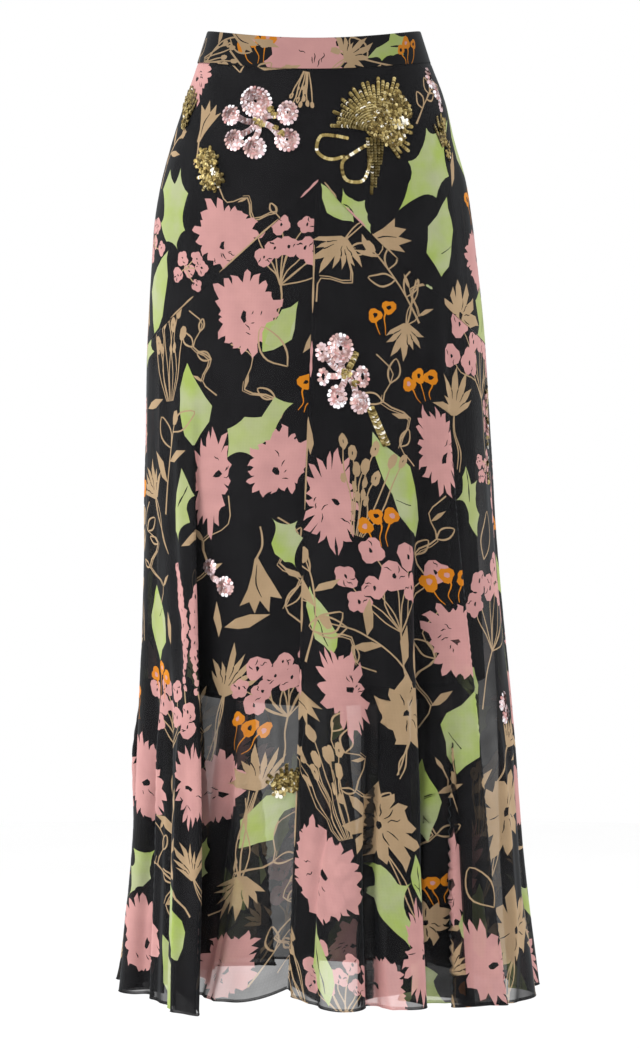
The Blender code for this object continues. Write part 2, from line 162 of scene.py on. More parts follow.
def plan_at(table, drop):
    """Centre x, centre y, half-width and half-depth of a table's plan at a drop."""
    drops = table_column(table, "drop")
    right, left, front, back = (
        smooth_between(drop, drops, table_column(table, name))
        for name in ("right", "left", "front", "back")
    )
    return (left - right) / 2, (back - front) / 2, (left + right) / 2, (front + back) / 2


def waist_seam_z(angle):
    """Height of the seam under the band: level at the sides, dipping at the front."""
    across = (WAIST_DIP_FRONT + WAIST_RISE_BACK) / 2
    both = (WAIST_DIP_FRONT - WAIST_RISE_BACK) / 2
    return -BAND_HEIGHT / 2 - across * np.cos(angle) - both * np.cos(angle) ** 2


def hem_z(angle):
    """Height of the hem before its folds: higher at the centre front."""
    return SIDE_HEM_Z + FRONT_HEM_RISE * ((1 + np.cos(angle)) / 2) ** 2


def yoke_share(angle):
    """How far down the skirt, from 0 to 1, the yoke's pointed seam lies."""
    drop = YOKE_DROP_AT_CENTRE + (YOKE_DROP_AT_SIDE - YOKE_DROP_AT_CENTRE) * np.abs(np.sin(angle))
    return drop / SKIRT_DROP


def knot_values():
    """Arrays over the knots: hem angle, drift, radial height, lean, hem rise and start."""
    crest, out, lean, trough, inward, tuck, rise, drift, start = (
        np.array(table_column(FOLDS, name)) for name in FOLDS["columns"]
    )
    none = np.zeros_like(lean)
    pairs = ((crest, trough), (drift, drift), (out, -inward), (lean, -tuck), (none, rise))
    return [np.stack(pair, axis=1).ravel() for pair in (*pairs, (start, start))]


KNOT_ANGLE, KNOT_DRIFT, KNOT_HEIGHT, KNOT_LEAN, KNOT_RISE, KNOT_START = knot_values()


def at_knot(values, knot, turn=0.0):
    """A knot's value, where each whole turn round the skirt adds turn."""
    count = len(values)
    return values[knot % count] + turn * (knot // count)


def knot_angle(knot, down):
    """A knot's angle in radians at a share of the way down."""
    hem = at_knot(KNOT_ANGLE, knot, 360.0)
    return np.radians(hem + at_knot(KNOT_DRIFT, knot) * (1 - down))


def knot_growth(knot, drop):
    """How much of a knot's hem size it has reached at a drop, from 0 to 1."""
    start = at_knot(KNOT_START, knot)
    return np.clip((drop - start) / (SKIRT_DROP - start), 0.0, 1.0) ** FOLD_GROWTH


def fold_place(knot, drop):
    """Angle, radial height, sideways shift and hem rise at a place between two knots."""
    low = np.floor(knot).astype(int)
    high = low + 1
    part_way = knot - low
    ease = (1 - np.cos(np.pi * part_way)) / 2
    low_growth = knot_growth(low, drop) * (1 - ease)
    high_growth = knot_growth(high, drop) * ease

    def eased(values):
        return at_knot(values, low) * low_growth + at_knot(values, high) * high_growth

    down = np.clip(drop / SKIRT_DROP, 0.0, 1.0)
    low_angle = knot_angle(low, down)
    gap = knot_angle(high, down) - low_angle
    angle = low_angle + gap * part_way
    half_width, half_depth = plan_at(SECTIONS, drop)[2:]
    arc = gap * np.hypot(half_width * np.cos(angle), half_depth * np.sin(angle))
    away_from_crest = np.where(low % 2 == 0, 1.0, -1.0)
    growth = np.sqrt((knot_growth(low, drop) + knot_growth(high, drop)) / 2)
    spread = FOLD_SPREAD / np.pi * away_from_crest * growth * arc * np.sin(np.pi * part_way)
    return angle, eased(KNOT_HEIGHT), eased(KNOT_LEAN) + spread, eased(KNOT_RISE)


def skirt_point(knot, down):
    """Points of the outer cloth's face, at a knot and a share of the way from seam to hem."""
    drop = down * SKIRT_DROP
    angle, height, sideways, rise = fold_place(knot, drop)
    centre_x, centre_y, half_width, half_depth = plan_at(SECTIONS, drop)
    sine = np.sin(angle)
    cosine = np.cos(angle)
    out_x = sine / half_width
    out_y = -cosine / half_depth
    length = np.hypot(out_x, out_y)
    out_x = out_x / length
    out_y = out_y / length
    x = centre_x + half_width * sine + out_x * height - out_y * sideways
    y = centre_y - half_depth * cosine + out_y * height + out_x * sideways
    top = waist_seam_z(angle)
    z = top + down * (hem_z(angle) - top) + rise
    return np.stack([x, y, z], axis=-1)


def band_point(angle, down):
    """Points of the band's outer face, from its top edge down to its seam."""
    half_width = BAND_TOP_HALF_WIDTH + (BAND_SEAM_HALF_WIDTH - BAND_TOP_HALF_WIDTH) * down
    half_depth = BAND_TOP_HALF_DEPTH + (BAND_SEAM_HALF_DEPTH - BAND_TOP_HALF_DEPTH) * down
    x = (half_width + BAND_PROUD) * np.sin(angle)
    y = -(half_depth + BAND_PROUD) * np.cos(angle)
    z = waist_seam_z(angle) + BAND_HEIGHT - down * (BAND_HEIGHT - SEAM_GAP / 2)
    return np.stack([x, y, z], axis=-1)


def lining_point(angle, down):
    """Points of the lining's outer face."""
    drop = down * LINING_DROP
    centre_x, centre_y, half_width, half_depth = plan_at(LINING_SECTIONS, drop)
    ripple = LINING_FOLD_DEPTH * down * np.abs(down) * np.cos(LINING_FOLDS * angle)
    x = centre_x + (half_width + ripple) * np.sin(angle)
    y = centre_y - (half_depth + ripple) * np.cos(angle)
    z = waist_seam_z(angle) - SEAM_GAP - drop
    return np.stack([x, y, z], axis=-1)


def skirt_face(knot, v):
    """The outer cloth's face, at a knot and at v in mm below the waist seam."""
    return skirt_point(knot, np.asarray(v) * MM / SKIRT_DROP)


def lining_face(angle, v):
    return lining_point(angle, np.asarray(v) * MM / LINING_DROP)


# Directions and lengths.


def unit(vectors):
    return vectors / np.maximum(np.linalg.norm(vectors, axis=-1, keepdims=True), 1e-12)


def face_normal(point_at, s, v):
    """The outward direction of a surface, from small steps along it."""
    step_s, step_v = 1e-3, 0.05
    across = point_at(s + step_s, v) - point_at(s - step_s, v)
    down = point_at(s, v + step_v) - point_at(s, v - step_v)
    return unit(np.cross(down, across))


def run_length(points):
    """The length along a line up to each of its points."""
    steps = np.linalg.norm(np.diff(points, axis=0), axis=1)
    return np.concatenate([[0.0], np.cumsum(steps)])


def read_along(places, along, rows):
    """Rows of numbers that belong to places along a line, read at other places."""
    return np.stack([np.interp(places, along, rows[:, k]) for k in range(rows.shape[1])], axis=-1)


def smoothstep(x):
    x = np.clip(x, 0.0, 1.0)
    return x * x * (3 - 2 * x)


# Panels laid flat.

CHART_ROWS = 90
CHART_COLUMNS = 241
# Just short of the last row, so that a row always lies below.
LAST_CHART_ROW = CHART_ROWS - 1.000001


class Chart:
    """A panel laid flat: u across it and v down it in mm, against its own parameter s."""

    def __init__(self, point_at, first, last, top, bottom, edges):
        self.point_at = point_at
        self.first = first
        self.last = last
        self.top_edge, self.bottom_edge = edges
        self.v = np.linspace(top, bottom, CHART_ROWS)
        self.s = np.linspace(first, last, CHART_COLUMNS)
        s, v = np.meshgrid(self.s, self.v)
        steps = np.linalg.norm(np.diff(point_at(s, v), axis=1), axis=-1) / MM
        along = np.concatenate([np.zeros((CHART_ROWS, 1)), np.cumsum(steps, axis=1)], axis=1)
        self.width = along[:, -1]
        self.share = along / self.width[:, None]

    def row(self, v):
        """The chart row above v, and how far v is on the way to the next."""
        place = (np.asarray(v, float) - self.v[0]) / (self.v[1] - self.v[0])
        place = np.clip(place, 0.0, LAST_CHART_ROW)
        low = place.astype(int)
        return low, place - low

    def half_width(self, v):
        return np.interp(v, self.v, self.width) / 2

    def between_rows(self, values, v, read):
        """Values read off the two chart rows round each v, and blended."""
        low, part = self.row(v)
        result = np.empty(values.shape)
        for j in np.unique(low):
            here = low == j
            above = read(values[here], j)
            below = read(values[here], j + 1)
            result[here] = above + (below - above) * part[here]
        return result

    def lift(self, u, v):
        """The parameter s at a flat place."""
        half = self.half_width(v)
        share = np.clip((u + half) / (2 * half), 0.0, 1.0)
        return self.between_rows(share, v, lambda part, j: np.interp(part, self.share[j], self.s))

    def lay(self, s, v):
        """The flat place u of a parameter s at v."""
        s, v = np.broadcast_arrays(np.asarray(s, float), np.asarray(v, float))
        share = self.between_rows(s, v, lambda part, j: np.interp(part, self.s, self.share[j]))
        return (2 * share - 1) * self.half_width(v)

    def lay_one(self, s, v):
        return float(self.lay([s], [v])[0])

    def line_across(self, v, count):
        """Flat points from side to side at v."""
        s = np.linspace(self.first, self.last, count)
        return np.stack([self.lay(s, v), np.full_like(s, v)], axis=-1)

    def outline(self, spacing):
        """The closed outline of the panel, as flat points about a spacing apart."""
        across = np.linspace(self.first, self.last, int(self.width.max() / spacing) + 2)
        top = self.top_edge(across)
        bottom = self.bottom_edge(across)
        sides = []
        for s, v_low, v_high in ((self.last, top[-1], bottom[-1]), (self.first, bottom[0], top[0])):
            count = int(abs(v_high - v_low) / spacing) + 2
            v = np.linspace(v_low, v_high, count)[1:-1]
            sides.append(np.stack([self.lay(s, v), v], axis=-1))
        top_line = np.stack([self.lay(across, top), top], axis=-1)
        bottom_line = np.stack([self.lay(across, bottom), bottom], axis=-1)
        return np.concatenate([top_line, sides[0], bottom_line[::-1], sides[1]])

    def inside(self, points, margin=0.0):
        """Which flat points lie in the panel, further than a margin from its edges."""
        u, v = points[:, 0], points[:, 1]
        s = self.lift(u, v)
        within = np.abs(u) < self.half_width(v) - margin
        return within & (v > self.top_edge(s) + margin) & (v < self.bottom_edge(s) - margin)


def yoke_seam_v(knot):
    """How far below the waist the yoke's lower seam is at a knot, in mm."""
    angle = fold_place(knot, YOKE_DROP_AT_SIDE)[0]
    return yoke_share(angle) * SKIRT_DROP / MM


def level(v):
    """An edge that runs level at v."""
    return lambda s: np.full_like(np.asarray(s, float), v)


# The print. Each motif is a list of inks and outlines in mm, with y upwards.

TAU = math.tau
INKS = ("black", "pink", "green", "pale_green", "tan", "orange")
BLACK = INKS.index("black")


def polar(radii, turns, stretch=(1.0, 1.0)):
    """Points at distances and turns from the origin."""
    radii = np.asarray(radii, float)
    turns = np.asarray(turns, float)
    return np.stack([radii * np.cos(turns) * stretch[0], radii * np.sin(turns) * stretch[1]], axis=-1)


def around(reach, turn, x=0.0, y=0.0):
    """The place at a reach and a turn from (x, y)."""
    return np.array([x + reach * math.cos(turn), y + reach * math.sin(turn)])


def moved(points, x, y, turn=0.0):
    """Points turned about the origin, and then moved to (x, y)."""
    cosine, sine = math.cos(turn), math.sin(turn)
    points = np.asarray(points, float)
    return np.stack([
        x + points[:, 0] * cosine - points[:, 1] * sine,
        y + points[:, 0] * sine + points[:, 1] * cosine,
    ], axis=-1)


def moved_all(shapes, x, y, turn=0.0):
    return [(ink, moved(points, x, y, turn)) for ink, points in shapes]


def smoothed(points, per_span=4):
    """A smooth open curve through control points."""
    points = np.asarray(points, float)
    before = np.concatenate([points[:1] * 2 - points[1:2], points[:-1]])
    after = np.concatenate([points[1:], points[-1:] * 2 - points[-2:-1]])
    slope = (after - before) / 2
    start, end, leave, arrive = cubic_weights(np.linspace(0.0, 1.0, per_span, endpoint=False)[:, None])
    spans = [
        start * points[i] + end * points[i + 1] + leave * slope[i] + arrive * slope[i + 1]
        for i in range(len(points) - 1)
    ]
    return np.concatenate([*spans, points[-1:]])


def beside(points):
    """The direction to one side of a flat line, at each of its points."""
    along = np.gradient(points, axis=0)
    return unit(np.stack([-along[:, 1], along[:, 0]], axis=-1))


def ribbon(points, widths):
    """The outline of a line of changing width."""
    points = np.asarray(points, float)
    shares = np.linspace(0, 1, len(points))
    half = np.interp(shares, np.linspace(0, 1, len(widths)), widths)[:, None] / 2
    side = beside(points)
    return np.concatenate([points + side * half, (points - side * half)[::-1]])


def stroke(rng, start, end, widths, bend=0.1, per_span=3):
    """A drawn line between two points that bows a little to one side."""
    start = np.asarray(start, float)
    end = np.asarray(end, float)
    across = np.array([start[1] - end[1], end[0] - start[0]])
    low = start + (end - start) * 0.35 + across * rng.uniform(-bend, bend)
    high = start + (end - start) * 0.7 + across * rng.uniform(-bend, bend)
    return ribbon(smoothed([start, low, high, end], per_span), widths)


def jittered(rng, points, most):
    """Points that are each moved a little by chance."""
    return points + np.array([[rng.uniform(-most, most), rng.uniform(-most, most)] for _ in points])


def blob(rng, radius, sides, wobble, stretch=(1.0, 1.0)):
    """A small uneven round."""
    turns = [TAU * (i + rng.uniform(-0.25, 0.25)) / sides for i in range(sides)]
    return polar([radius * rng.uniform(1 - wobble, 1 + wobble) for _ in turns], turns, stretch)


def lobed(rng, radius, lobes, depth=0.3):
    """A small flower seen from above, with round lobes."""
    start = rng.uniform(0, TAU)
    radii = []
    turns = []
    for i in range(lobes):
        reach = radius * rng.uniform(0.85, 1.12)
        for part, size in ((0.0, 1 - depth), (0.25, 0.92), (0.5, 1.0), (0.75, 0.92)):
            radii.append(reach * size)
            turns.append(start + TAU * (i + part) / lobes)
    return polar(radii, turns)


def toothed(rng, radius, teeth, depth, stretch, rough=0.1):
    """A round outline of pointed petals of uneven length, on an uneven round."""
    radii = []
    turns = []
    swell = [(rng.uniform(0.03, 0.09), rng.uniform(0, TAU), k) for k in (2, 3, 5)]
    for i in range(teeth):
        middle = TAU * (i + rng.uniform(-0.22, 0.22)) / teeth
        around = radius * (1 + sum(size * math.sin(k * middle + start) for size, start, k in swell))
        half = TAU / teeth / 2
        tip = around * rng.uniform(1 - rough, 1 + rough)
        lean = rng.uniform(-0.7, 0.7) * half
        shoulder = tip * (1 - depth * rng.uniform(0.3, 0.5))
        radii += [shoulder, tip, shoulder, around * (1 - depth * rng.uniform(0.6, 1.2))]
        turns += [middle - half * 0.55, middle + lean, middle + half * 0.55, middle + half]
    return polar(radii, turns, stretch)


def aster(rng, size, teeth=(19, 25), depth=0.2, stretch=None):
    """A shaggy round flower of many pointed petals, with a small eye and a few strokes."""
    radius = size / 2
    stretch = stretch or (rng.uniform(0.84, 1.0), rng.uniform(0.96, 1.1))
    shapes = [("pink", toothed(rng, radius, rng.randint(*teeth), depth, stretch))]
    eye = (radius * rng.uniform(-0.2, 0.2), radius * rng.uniform(-0.35, 0.15))
    pupil = blob(rng, radius * 0.1, 7, 0.5, (0.7, 1.3))
    shapes.append(("black", moved(pupil, *eye, rng.uniform(0, TAU))))
    facing = rng.uniform(0, TAU)
    for _ in range(rng.randint(4, 7)):
        turn = facing + rng.uniform(-1.3, 1.3)
        near = radius * rng.uniform(0.16, 0.45)
        far = near + radius * rng.uniform(0.05, 0.2)
        start, end = around(near, turn, *eye), around(far, turn + 0.25, *eye)
        shapes.append(("black", stroke(rng, start, end, (0.4, 1.2, 0.5), 0.15, 2)))
    return shapes


def stemmed_aster(rng, size):
    """The same flower on a thin stem with one narrow leaf."""
    length = size * rng.uniform(0.8, 1.3)
    foot = (size * rng.uniform(-0.35, 0.35), -size * 0.35 - length)
    shapes = [("tan", stroke(rng, (0, -size * 0.3), foot, (2.2, 1.6, 2.4), 0.12, 4))]
    side = rng.choice((-1, 1))
    joint = (foot[0] * 0.6, -size * 0.3 + (foot[1] + size * 0.3) * 0.6)
    shapes += moved_all(blade(rng, size * 0.5), joint[0], joint[1], -side * 0.9)
    return shapes + aster(rng, size)


def ragged(rng, size):
    """An aster with longer, sharper petals, seen at a slant."""
    return aster(rng, size, teeth=(16, 21), depth=0.34, stretch=(rng.uniform(0.52, 0.7), 1.12))


def stems(rng, start, length, lean):
    """Two or three thin lines that run down together from a flower."""
    foot = np.array([start[0] + math.sin(lean) * length, start[1] - math.cos(lean) * length])
    lines = []
    for i in range(rng.randint(2, 3)):
        shift = rng.uniform(-0.05, 0.05) * length
        end = foot + np.array([shift, rng.uniform(-0.1, 0.12) * length])
        lines.append(("tan", stroke(rng, start, end, (1.8, 1.2, 1.6, 1.0), 0.07, 4)))
    return lines


def fan_flower(rng, size):
    """A jagged flower seen from the side, with its stem."""
    radius = size / 2
    petals = rng.randint(7, 9)
    spread = rng.uniform(2.2, 2.9)
    root = np.array([0.0, -radius * 0.5])
    outline = [root + np.array([-radius * 0.1, -radius * 0.1])]
    slits = []
    for i in range(petals):
        turn = TAU / 4 + spread / 2 - spread * (i + 0.5) / petals
        half = spread / petals / 2
        reach = radius * rng.uniform(0.95, 1.5) * (1.0 - 0.25 * abs(turn - TAU / 4))
        for part, share in ((0.6, 0.72), (rng.uniform(-0.5, 0.5), 1.0), (-0.55, 0.78)):
            outline.append(around(reach * share, turn + half * part, *root))
        notch = around(reach * rng.uniform(0.5, 0.66), turn - half, *root)
        outline.append(notch)
        if i < petals - 1 and rng.random() < 0.7:
            inner = root + (notch - root) * rng.uniform(0.3, 0.6)
            slits.append(("black", stroke(rng, inner, notch, (0.5, 1.4), 0.08, 2)))
    outline.append(root + np.array([radius * 0.1, -radius * 0.1]))
    lines = stems(rng, (0, -radius * 0.4), size * rng.uniform(0.8, 1.3), rng.uniform(-0.4, 0.4))
    return lines + [("tan", np.array(outline))] + slits


def star_flower(rng, size):
    """A tan flower with few wide pointed petals, an eye and dark lines between petals."""
    radius = size / 2
    petals = rng.randint(9, 12)
    shapes = [("tan", toothed(rng, radius, petals, 0.42, (rng.uniform(0.8, 1.0), 1.0), 0.16))]
    for i in range(petals):
        if rng.random() < 0.55:
            turn = TAU * (i + 0.5) / petals
            start, end = around(radius * 0.2, turn), around(radius * 0.5, turn)
            shapes.append(("black", stroke(rng, start, end, (0.6, 1.4, 0.5), 0.12, 2)))
    shapes.append(("black", blob(rng, radius * 0.1, 7, 0.4)))
    return stems(rng, (0, -radius * 0.6), size * rng.uniform(0.6, 1.1), rng.uniform(-0.5, 0.5)) + shapes


def leaf(rng, size):
    """A pointed leaf with uneven angular sides and a broken dark midrib to one side."""
    width = size * rng.uniform(0.36, 0.52)
    bend = rng.uniform(-0.12, 0.12) * size
    shares = np.array([0.0, 0.12, 0.27, 0.42, 0.58, 0.74, 0.88, 1.0])
    body = np.array([0.06, 0.45, 0.88, 1.0, 0.86, 0.58, 0.26, 0.0]) * width / 2
    spine_x = bend * np.sin(shares * math.pi)
    left, right = (
        [(spine_x[i] + way * body[i] * rng.uniform(0.75, 1.2), size * (s + rng.uniform(-0.03, 0.03)))
         for i, s in enumerate(shares[:-1])]
        for way in (-1, 1)
    )
    tip = (spine_x[-1] + rng.uniform(-0.05, 0.05) * size, size)
    shapes = [("green", np.array(left + [tip] + right[::-1]))]
    inner = np.array([(spine_x[i] - body[i] * rng.uniform(0.5, 0.72), size * s)
                      for i, s in enumerate(shares[1:7], 1)]
                     + [(spine_x[i] + body[i] * rng.uniform(0.5, 0.75), size * shares[i])
                        for i in range(6, 0, -1)])
    if rng.random() < 0.3:
        shapes.append(("pale_green", inner))
    rib = [(spine_x[i] + rng.uniform(-0.03, 0.03) * size, size * s)
           for i, s in enumerate(shares[:7])]
    if rng.random() < 0.4:
        shapes.append(("black", ribbon(smoothed(rib[1:6], 3), (0.6, 1.7, 0.7, 1.9, 0.4))))
    for i in (2, 4):
        if rng.random() < 0.25:
            side = rng.choice((-1, 1))
            end = (spine_x[i] + side * body[i] * 0.8, size * (shares[i] + 0.12))
            shapes.append(("black", stroke(rng, rib[i], end, (1.1, 0.5), 0.05, 2)))
    return [(shape_ink, points - np.array([0, size / 2])) for shape_ink, points in shapes]


# Outlines of broad leaves, each from its stalk round to its stalk, in half lengths.
BROAD_LEAVES = (
    ((-0.06, -1.0), (-0.16, -0.5), (-0.44, -0.22), (-0.30, 0.10), (-0.52, 0.46), (-0.20, 0.58),
     (0.06, 1.0), (0.14, 0.52), (0.34, 0.14), (0.26, -0.30), (0.10, -0.62)),
    ((-0.04, -1.0), (-0.34, -0.72), (-0.50, -0.20), (-0.34, 0.06), (-0.42, 0.52), (-0.10, 0.92),
     (0.02, 0.60), (0.34, 0.84), (0.52, 0.30), (0.30, -0.10), (0.36, -0.56), (0.08, -0.70)),
    ((0.02, -1.0), (-0.22, -0.60), (-0.30, -0.06), (-0.62, 0.22), (-0.34, 0.34), (-0.24, 0.78),
     (-0.02, 1.0), (0.10, 0.44), (0.42, 0.52), (0.26, 0.06), (0.24, -0.44), (0.10, -0.74)),
    ((0.00, -1.0), (-0.16, -0.66), (-0.26, -0.16), (-0.20, 0.36), (-0.02, 1.0), (0.20, 0.60),
     (0.46, 0.34), (0.30, -0.02), (0.34, -0.36), (0.12, -0.62)),
    ((-0.10, -0.9), (-0.52, -0.46), (-0.40, 0.04), (-0.12, 0.30), (-0.22, 0.86), (0.10, 1.0),
     (0.24, 0.48), (0.50, 0.10), (0.28, -0.10), (0.38, -0.50), (0.10, -0.60)),
)


def split_leaf(rng, size):
    """A broad angular leaf, pale within, with at most one dark line along it."""
    half = size / 2
    shape = np.array(rng.choice(BROAD_LEAVES))
    corners = jittered(rng, shape, 0.07) * half * np.array([rng.uniform(0.9, 1.2), 1.0])
    bowed = []
    for i, corner in enumerate(corners):
        after = corners[(i + 1) % len(corners)]
        across = np.array([corner[1] - after[1], after[0] - corner[0]])
        bow = rng.uniform(-0.19, 0.05)
        bowed.append(corner)
        for share in (0.22, 0.5, 0.78):
            bowed.append(corner + (after - corner) * share + across * bow * 4 * share * (1 - share))
    outline = np.array(bowed)
    shapes = [(rng.choice(("green", "green", "pale_green")), outline)]
    drawn = rng.random()
    if drawn < 0.3:
        rib = smoothed([corners[2] * 0.3, corners[len(corners) // 2] * 0.5,
                        corners[len(corners) // 2] * 0.9], 4)
        shapes.append(("black", ribbon(rib, (0.8, 2.2, 0.8, 1.6, 0.5))))
    elif drawn < 0.6:
        start = rng.randint(1, 4)
        edge = smoothed(corners[start:start + 3] * 0.84, 3)
        shapes.append(("black", ribbon(edge, (0.4, 1.6, 0.8, 1.3, 0.4))))
    return shapes


def blade(rng, size):
    """A narrow pointed leaf that grows from the origin."""
    width = size * rng.uniform(0.2, 0.3)
    bend = rng.uniform(-0.1, 0.1) * size
    points = [(0.0, 0.0), (-width * 0.45, size * 0.3), (-width * 0.5 + bend, size * 0.55),
              (bend * 1.2, size), (width * 0.5 + bend, size * 0.6), (width * 0.4, size * 0.28)]
    return [("tan", np.array(points))]


def loop_leaf(rng, size):
    """A leaf drawn only as an outline."""
    width = size * rng.uniform(0.38, 0.55)
    points = np.array([(0.0, 0.0), (-width * 0.5, size * 0.35), (-width * 0.42, size * 0.7),
                       (rng.uniform(-0.1, 0.1) * size, size), (width * 0.5, size * 0.6),
                       (width * 0.38, size * 0.25), (0.0, 0.0)])
    line = smoothed(points, 3)
    return [("tan", ribbon(line, (1.4, 2.0, 1.3, 2.2, 1.4)))]


def sprig(rng, size):
    """A branching line with narrow leaves, outlined leaves and a bud."""
    bend = rng.uniform(-0.2, 0.2) * size
    spine = smoothed([(0, -size / 2), (bend, -size * 0.1), (bend * 0.4, size * 0.25),
                      (-bend, size / 2)], 5)
    shapes = [("tan", ribbon(spine, (2.6, 1.6, 2.0, 1.2)))]
    for i, share in enumerate((0.3, 0.48, 0.64, 0.8)):
        x, y = spine[int(share * (len(spine) - 1))]
        side = 1 if (i + (bend > 0)) % 2 else -1
        grow = loop_leaf if rng.random() < 0.4 else blade
        reach = size * rng.uniform(0.26, 0.4)
        shapes += moved_all(grow(rng, reach), x, y, -side * rng.uniform(0.6, 1.1))
    x, y = spine[-1]
    bud = moved(blob(rng, size * 0.06, 8, 0.15, (0.8, 1.3)), x, y)
    return shapes + [("tan", bud)]


def vine(rng, size):
    """A thin doubled line that wanders, with hooks, small open loops and narrow leaves on it."""
    side = rng.choice((-1, 1))
    turns = (0.0, 0.11, -0.07, 0.13, -0.05, 0.06)
    route = [(side * aside * size * rng.uniform(0.6, 1.4), (i / 5 - 0.5) * size)
             for i, aside in enumerate(turns)]
    line = smoothed(route, 3)
    apart = np.array([side * rng.uniform(1.8, 3.2), rng.uniform(-2.0, 2.0)])
    shapes = [("tan", ribbon(line, (1.7, 1.1, 1.9, 1.1, 1.6))),
              ("tan", ribbon([np.array(point) + apart for point in line[3:11]], (0.8, 1.5, 1.0, 0.7)))]
    for share in (0.24, 0.42, 0.6, 0.78, 0.94):
        if rng.random() < 0.25:
            continue
        x, y = line[int(share * (len(line) - 1))]
        lean = rng.choice((-1, 1)) * rng.uniform(0.5, 1.2)
        grow = loop_leaf if rng.random() < 0.5 else blade
        shapes += moved_all(grow(rng, size * rng.uniform(0.13, 0.24)), x, y, lean)
    return shapes


def seed_bundle(rng, size):
    """A tied fan of thin parallel stems with oval seed heads."""
    shapes = []
    count = rng.randint(7, 10)
    for i in range(count):
        share = (i + 0.5) / count - 0.5
        turn = share * 0.75 + rng.uniform(-0.04, 0.04)
        reach = size * rng.uniform(0.62, 1.0)
        foot = (share * size * 0.14, -size * 0.5)
        head = (math.sin(turn) * reach * 0.8 + foot[0], -size * 0.5 + math.cos(turn) * reach)
        shapes.append(("tan", stroke(rng, foot, head, (1.0, 1.5, 1.1), 0.05, 3)))
        grain = blob(rng, size * 0.055, 9, 0.12, (0.8, 1.5))
        shapes.append(("tan", moved(grain, head[0], head[1], -turn)))
        if rng.random() < 0.4:
            shapes.append(("black", moved(blob(rng, 1.0, 5, 0.3, (0.6, 2.0)), head[0], head[1], -turn)))
        if rng.random() < 0.45:
            x = foot[0] + (head[0] - foot[0]) * 0.6 + rng.choice((-1, 1)) * 2.5
            y = foot[1] + (head[1] - foot[1]) * 0.6
            shapes.append(("tan", moved(blob(rng, size * 0.035, 7, 0.15, (0.8, 1.7)), x, y, -turn)))
    return shapes


def blossom(rng, radius):
    """A small blossom with a dark hole and curved slits."""
    shapes = [("pink", lobed(rng, radius, rng.randint(3, 5), 0.24))]
    shapes.append(("black", blob(rng, radius * 0.15, 6, 0.35, (0.8, 1.2))))
    for _ in range(rng.randint(1, 3)):
        turn = rng.uniform(0, TAU)
        near, far = around(radius * 0.35, turn), around(radius * 0.75, turn + 0.5)
        shapes.append(("black", stroke(rng, near, far, (0.4, 1.3, 0.4), 0.25, 2)))
    return shapes


def umbel(rng, size):
    """A head of small pink blossoms on tan stems that meet at one point."""
    count = rng.randint(8, 11)
    stalks = []
    heads = []
    for i in range(count):
        share = (i + 0.5) / count - 0.5
        turn = share * 2.3
        reach = size * (rng.uniform(0.55, 0.72) if i % 2 else rng.uniform(0.3, 0.46))
        x = math.sin(turn) * reach
        y = math.cos(turn) * reach - size * 0.25
        stalks.append(("tan", stroke(rng, (0, -size * 0.35), (x, y), (1.6, 1.1), 0.08, 3)))
        heads += moved_all(blossom(rng, size * rng.uniform(0.105, 0.15)), x, y)
    foot = (rng.uniform(-0.1, 0.1) * size, -size * 0.85)
    stalks.append(("tan", stroke(rng, (0, -size * 0.33), foot, (2.2, 1.4, 2.0), 0.1, 3)))
    return stalks + heads


def orange_sprig(rng, size):
    """Two or three orange blossoms on tapered stems."""
    shapes = []
    count = rng.randint(2, 3)
    for i in range(count):
        x = size * (0.34 * (i - (count - 1) / 2) + rng.uniform(-0.05, 0.05))
        y = size * rng.uniform(0.05, 0.35)
        shapes.append(("orange", stroke(rng, (x, y), (x * 0.4, -size * 0.4), (2.6, 1.2, 0.6), 0.12, 3)))
        shapes.append(("orange", moved(lobed(rng, size * rng.uniform(0.17, 0.22), 3, 0.25), x, y)))
        middle = rng.choice(("black", "pink"))
        shapes.append((middle, moved(blob(rng, size * 0.06, 7, 0.3), x, y)))
    return shapes


def spike(rng, size):
    """A tall narrow flower head of small crowded blossoms."""
    shapes = []
    count = int(size / 7)
    lean = rng.uniform(-0.08, 0.08)
    for i in range(count):
        share = i / (count - 1)
        y = size * (share - 0.5)
        x = lean * size * math.sin(share * 3) + rng.uniform(-2.2, 2.2)
        radius = 3.2 + 3.6 * math.sin(math.pi * min(1.0, 1.15 - share))
        shapes.append(("pink", moved(blob(rng, radius, 8, 0.3, (1.0, 1.25)), x, y)))
    for i in range(0, count, 2):
        y = size * (i / (count - 1) - 0.5) + 2
        x = lean * size * math.sin(i / (count - 1) * 3)
        shapes.append(("black", moved(blob(rng, 1.0, 5, 0.4, (0.7, 2.2)), x, y, rng.uniform(-0.7, 0.7))))
    stem = ("tan", stroke(rng, (0, -size * 0.5), (rng.uniform(-6, 6), -size * 0.8), (2.0, 1.4), 0.05, 3))
    return [stem] + shapes


def trumpet(rng, size):
    """A long tan flower that flares to pointed lobes, with a fold line."""
    half = size / 2
    outline = np.array([
        (-0.10, 0.95), (-0.22, 0.45), (-0.36, 0.0), (-0.62, -0.48), (-0.34, -0.42), (-0.20, -0.86),
        (0.02, -0.50), (0.26, -0.92), (0.34, -0.46), (0.64, -0.62), (0.40, -0.06), (0.20, 0.42),
        (0.06, 0.95),
    ])
    outline = jittered(rng, outline, 0.05) * half
    fold = smoothed([(0.0, half * 0.7), (-half * 0.08, half * 0.1), (half * 0.05, -half * 0.4)], 3)
    stem = ("tan", stroke(rng, (0, half * 0.9), (half * rng.uniform(-0.6, 0.6), half * 1.9),
                          (2.4, 1.5), 0.15, 4))
    return [stem, ("tan", outline), ("black", ribbon(fold, (0.5, 1.5, 0.6)))]


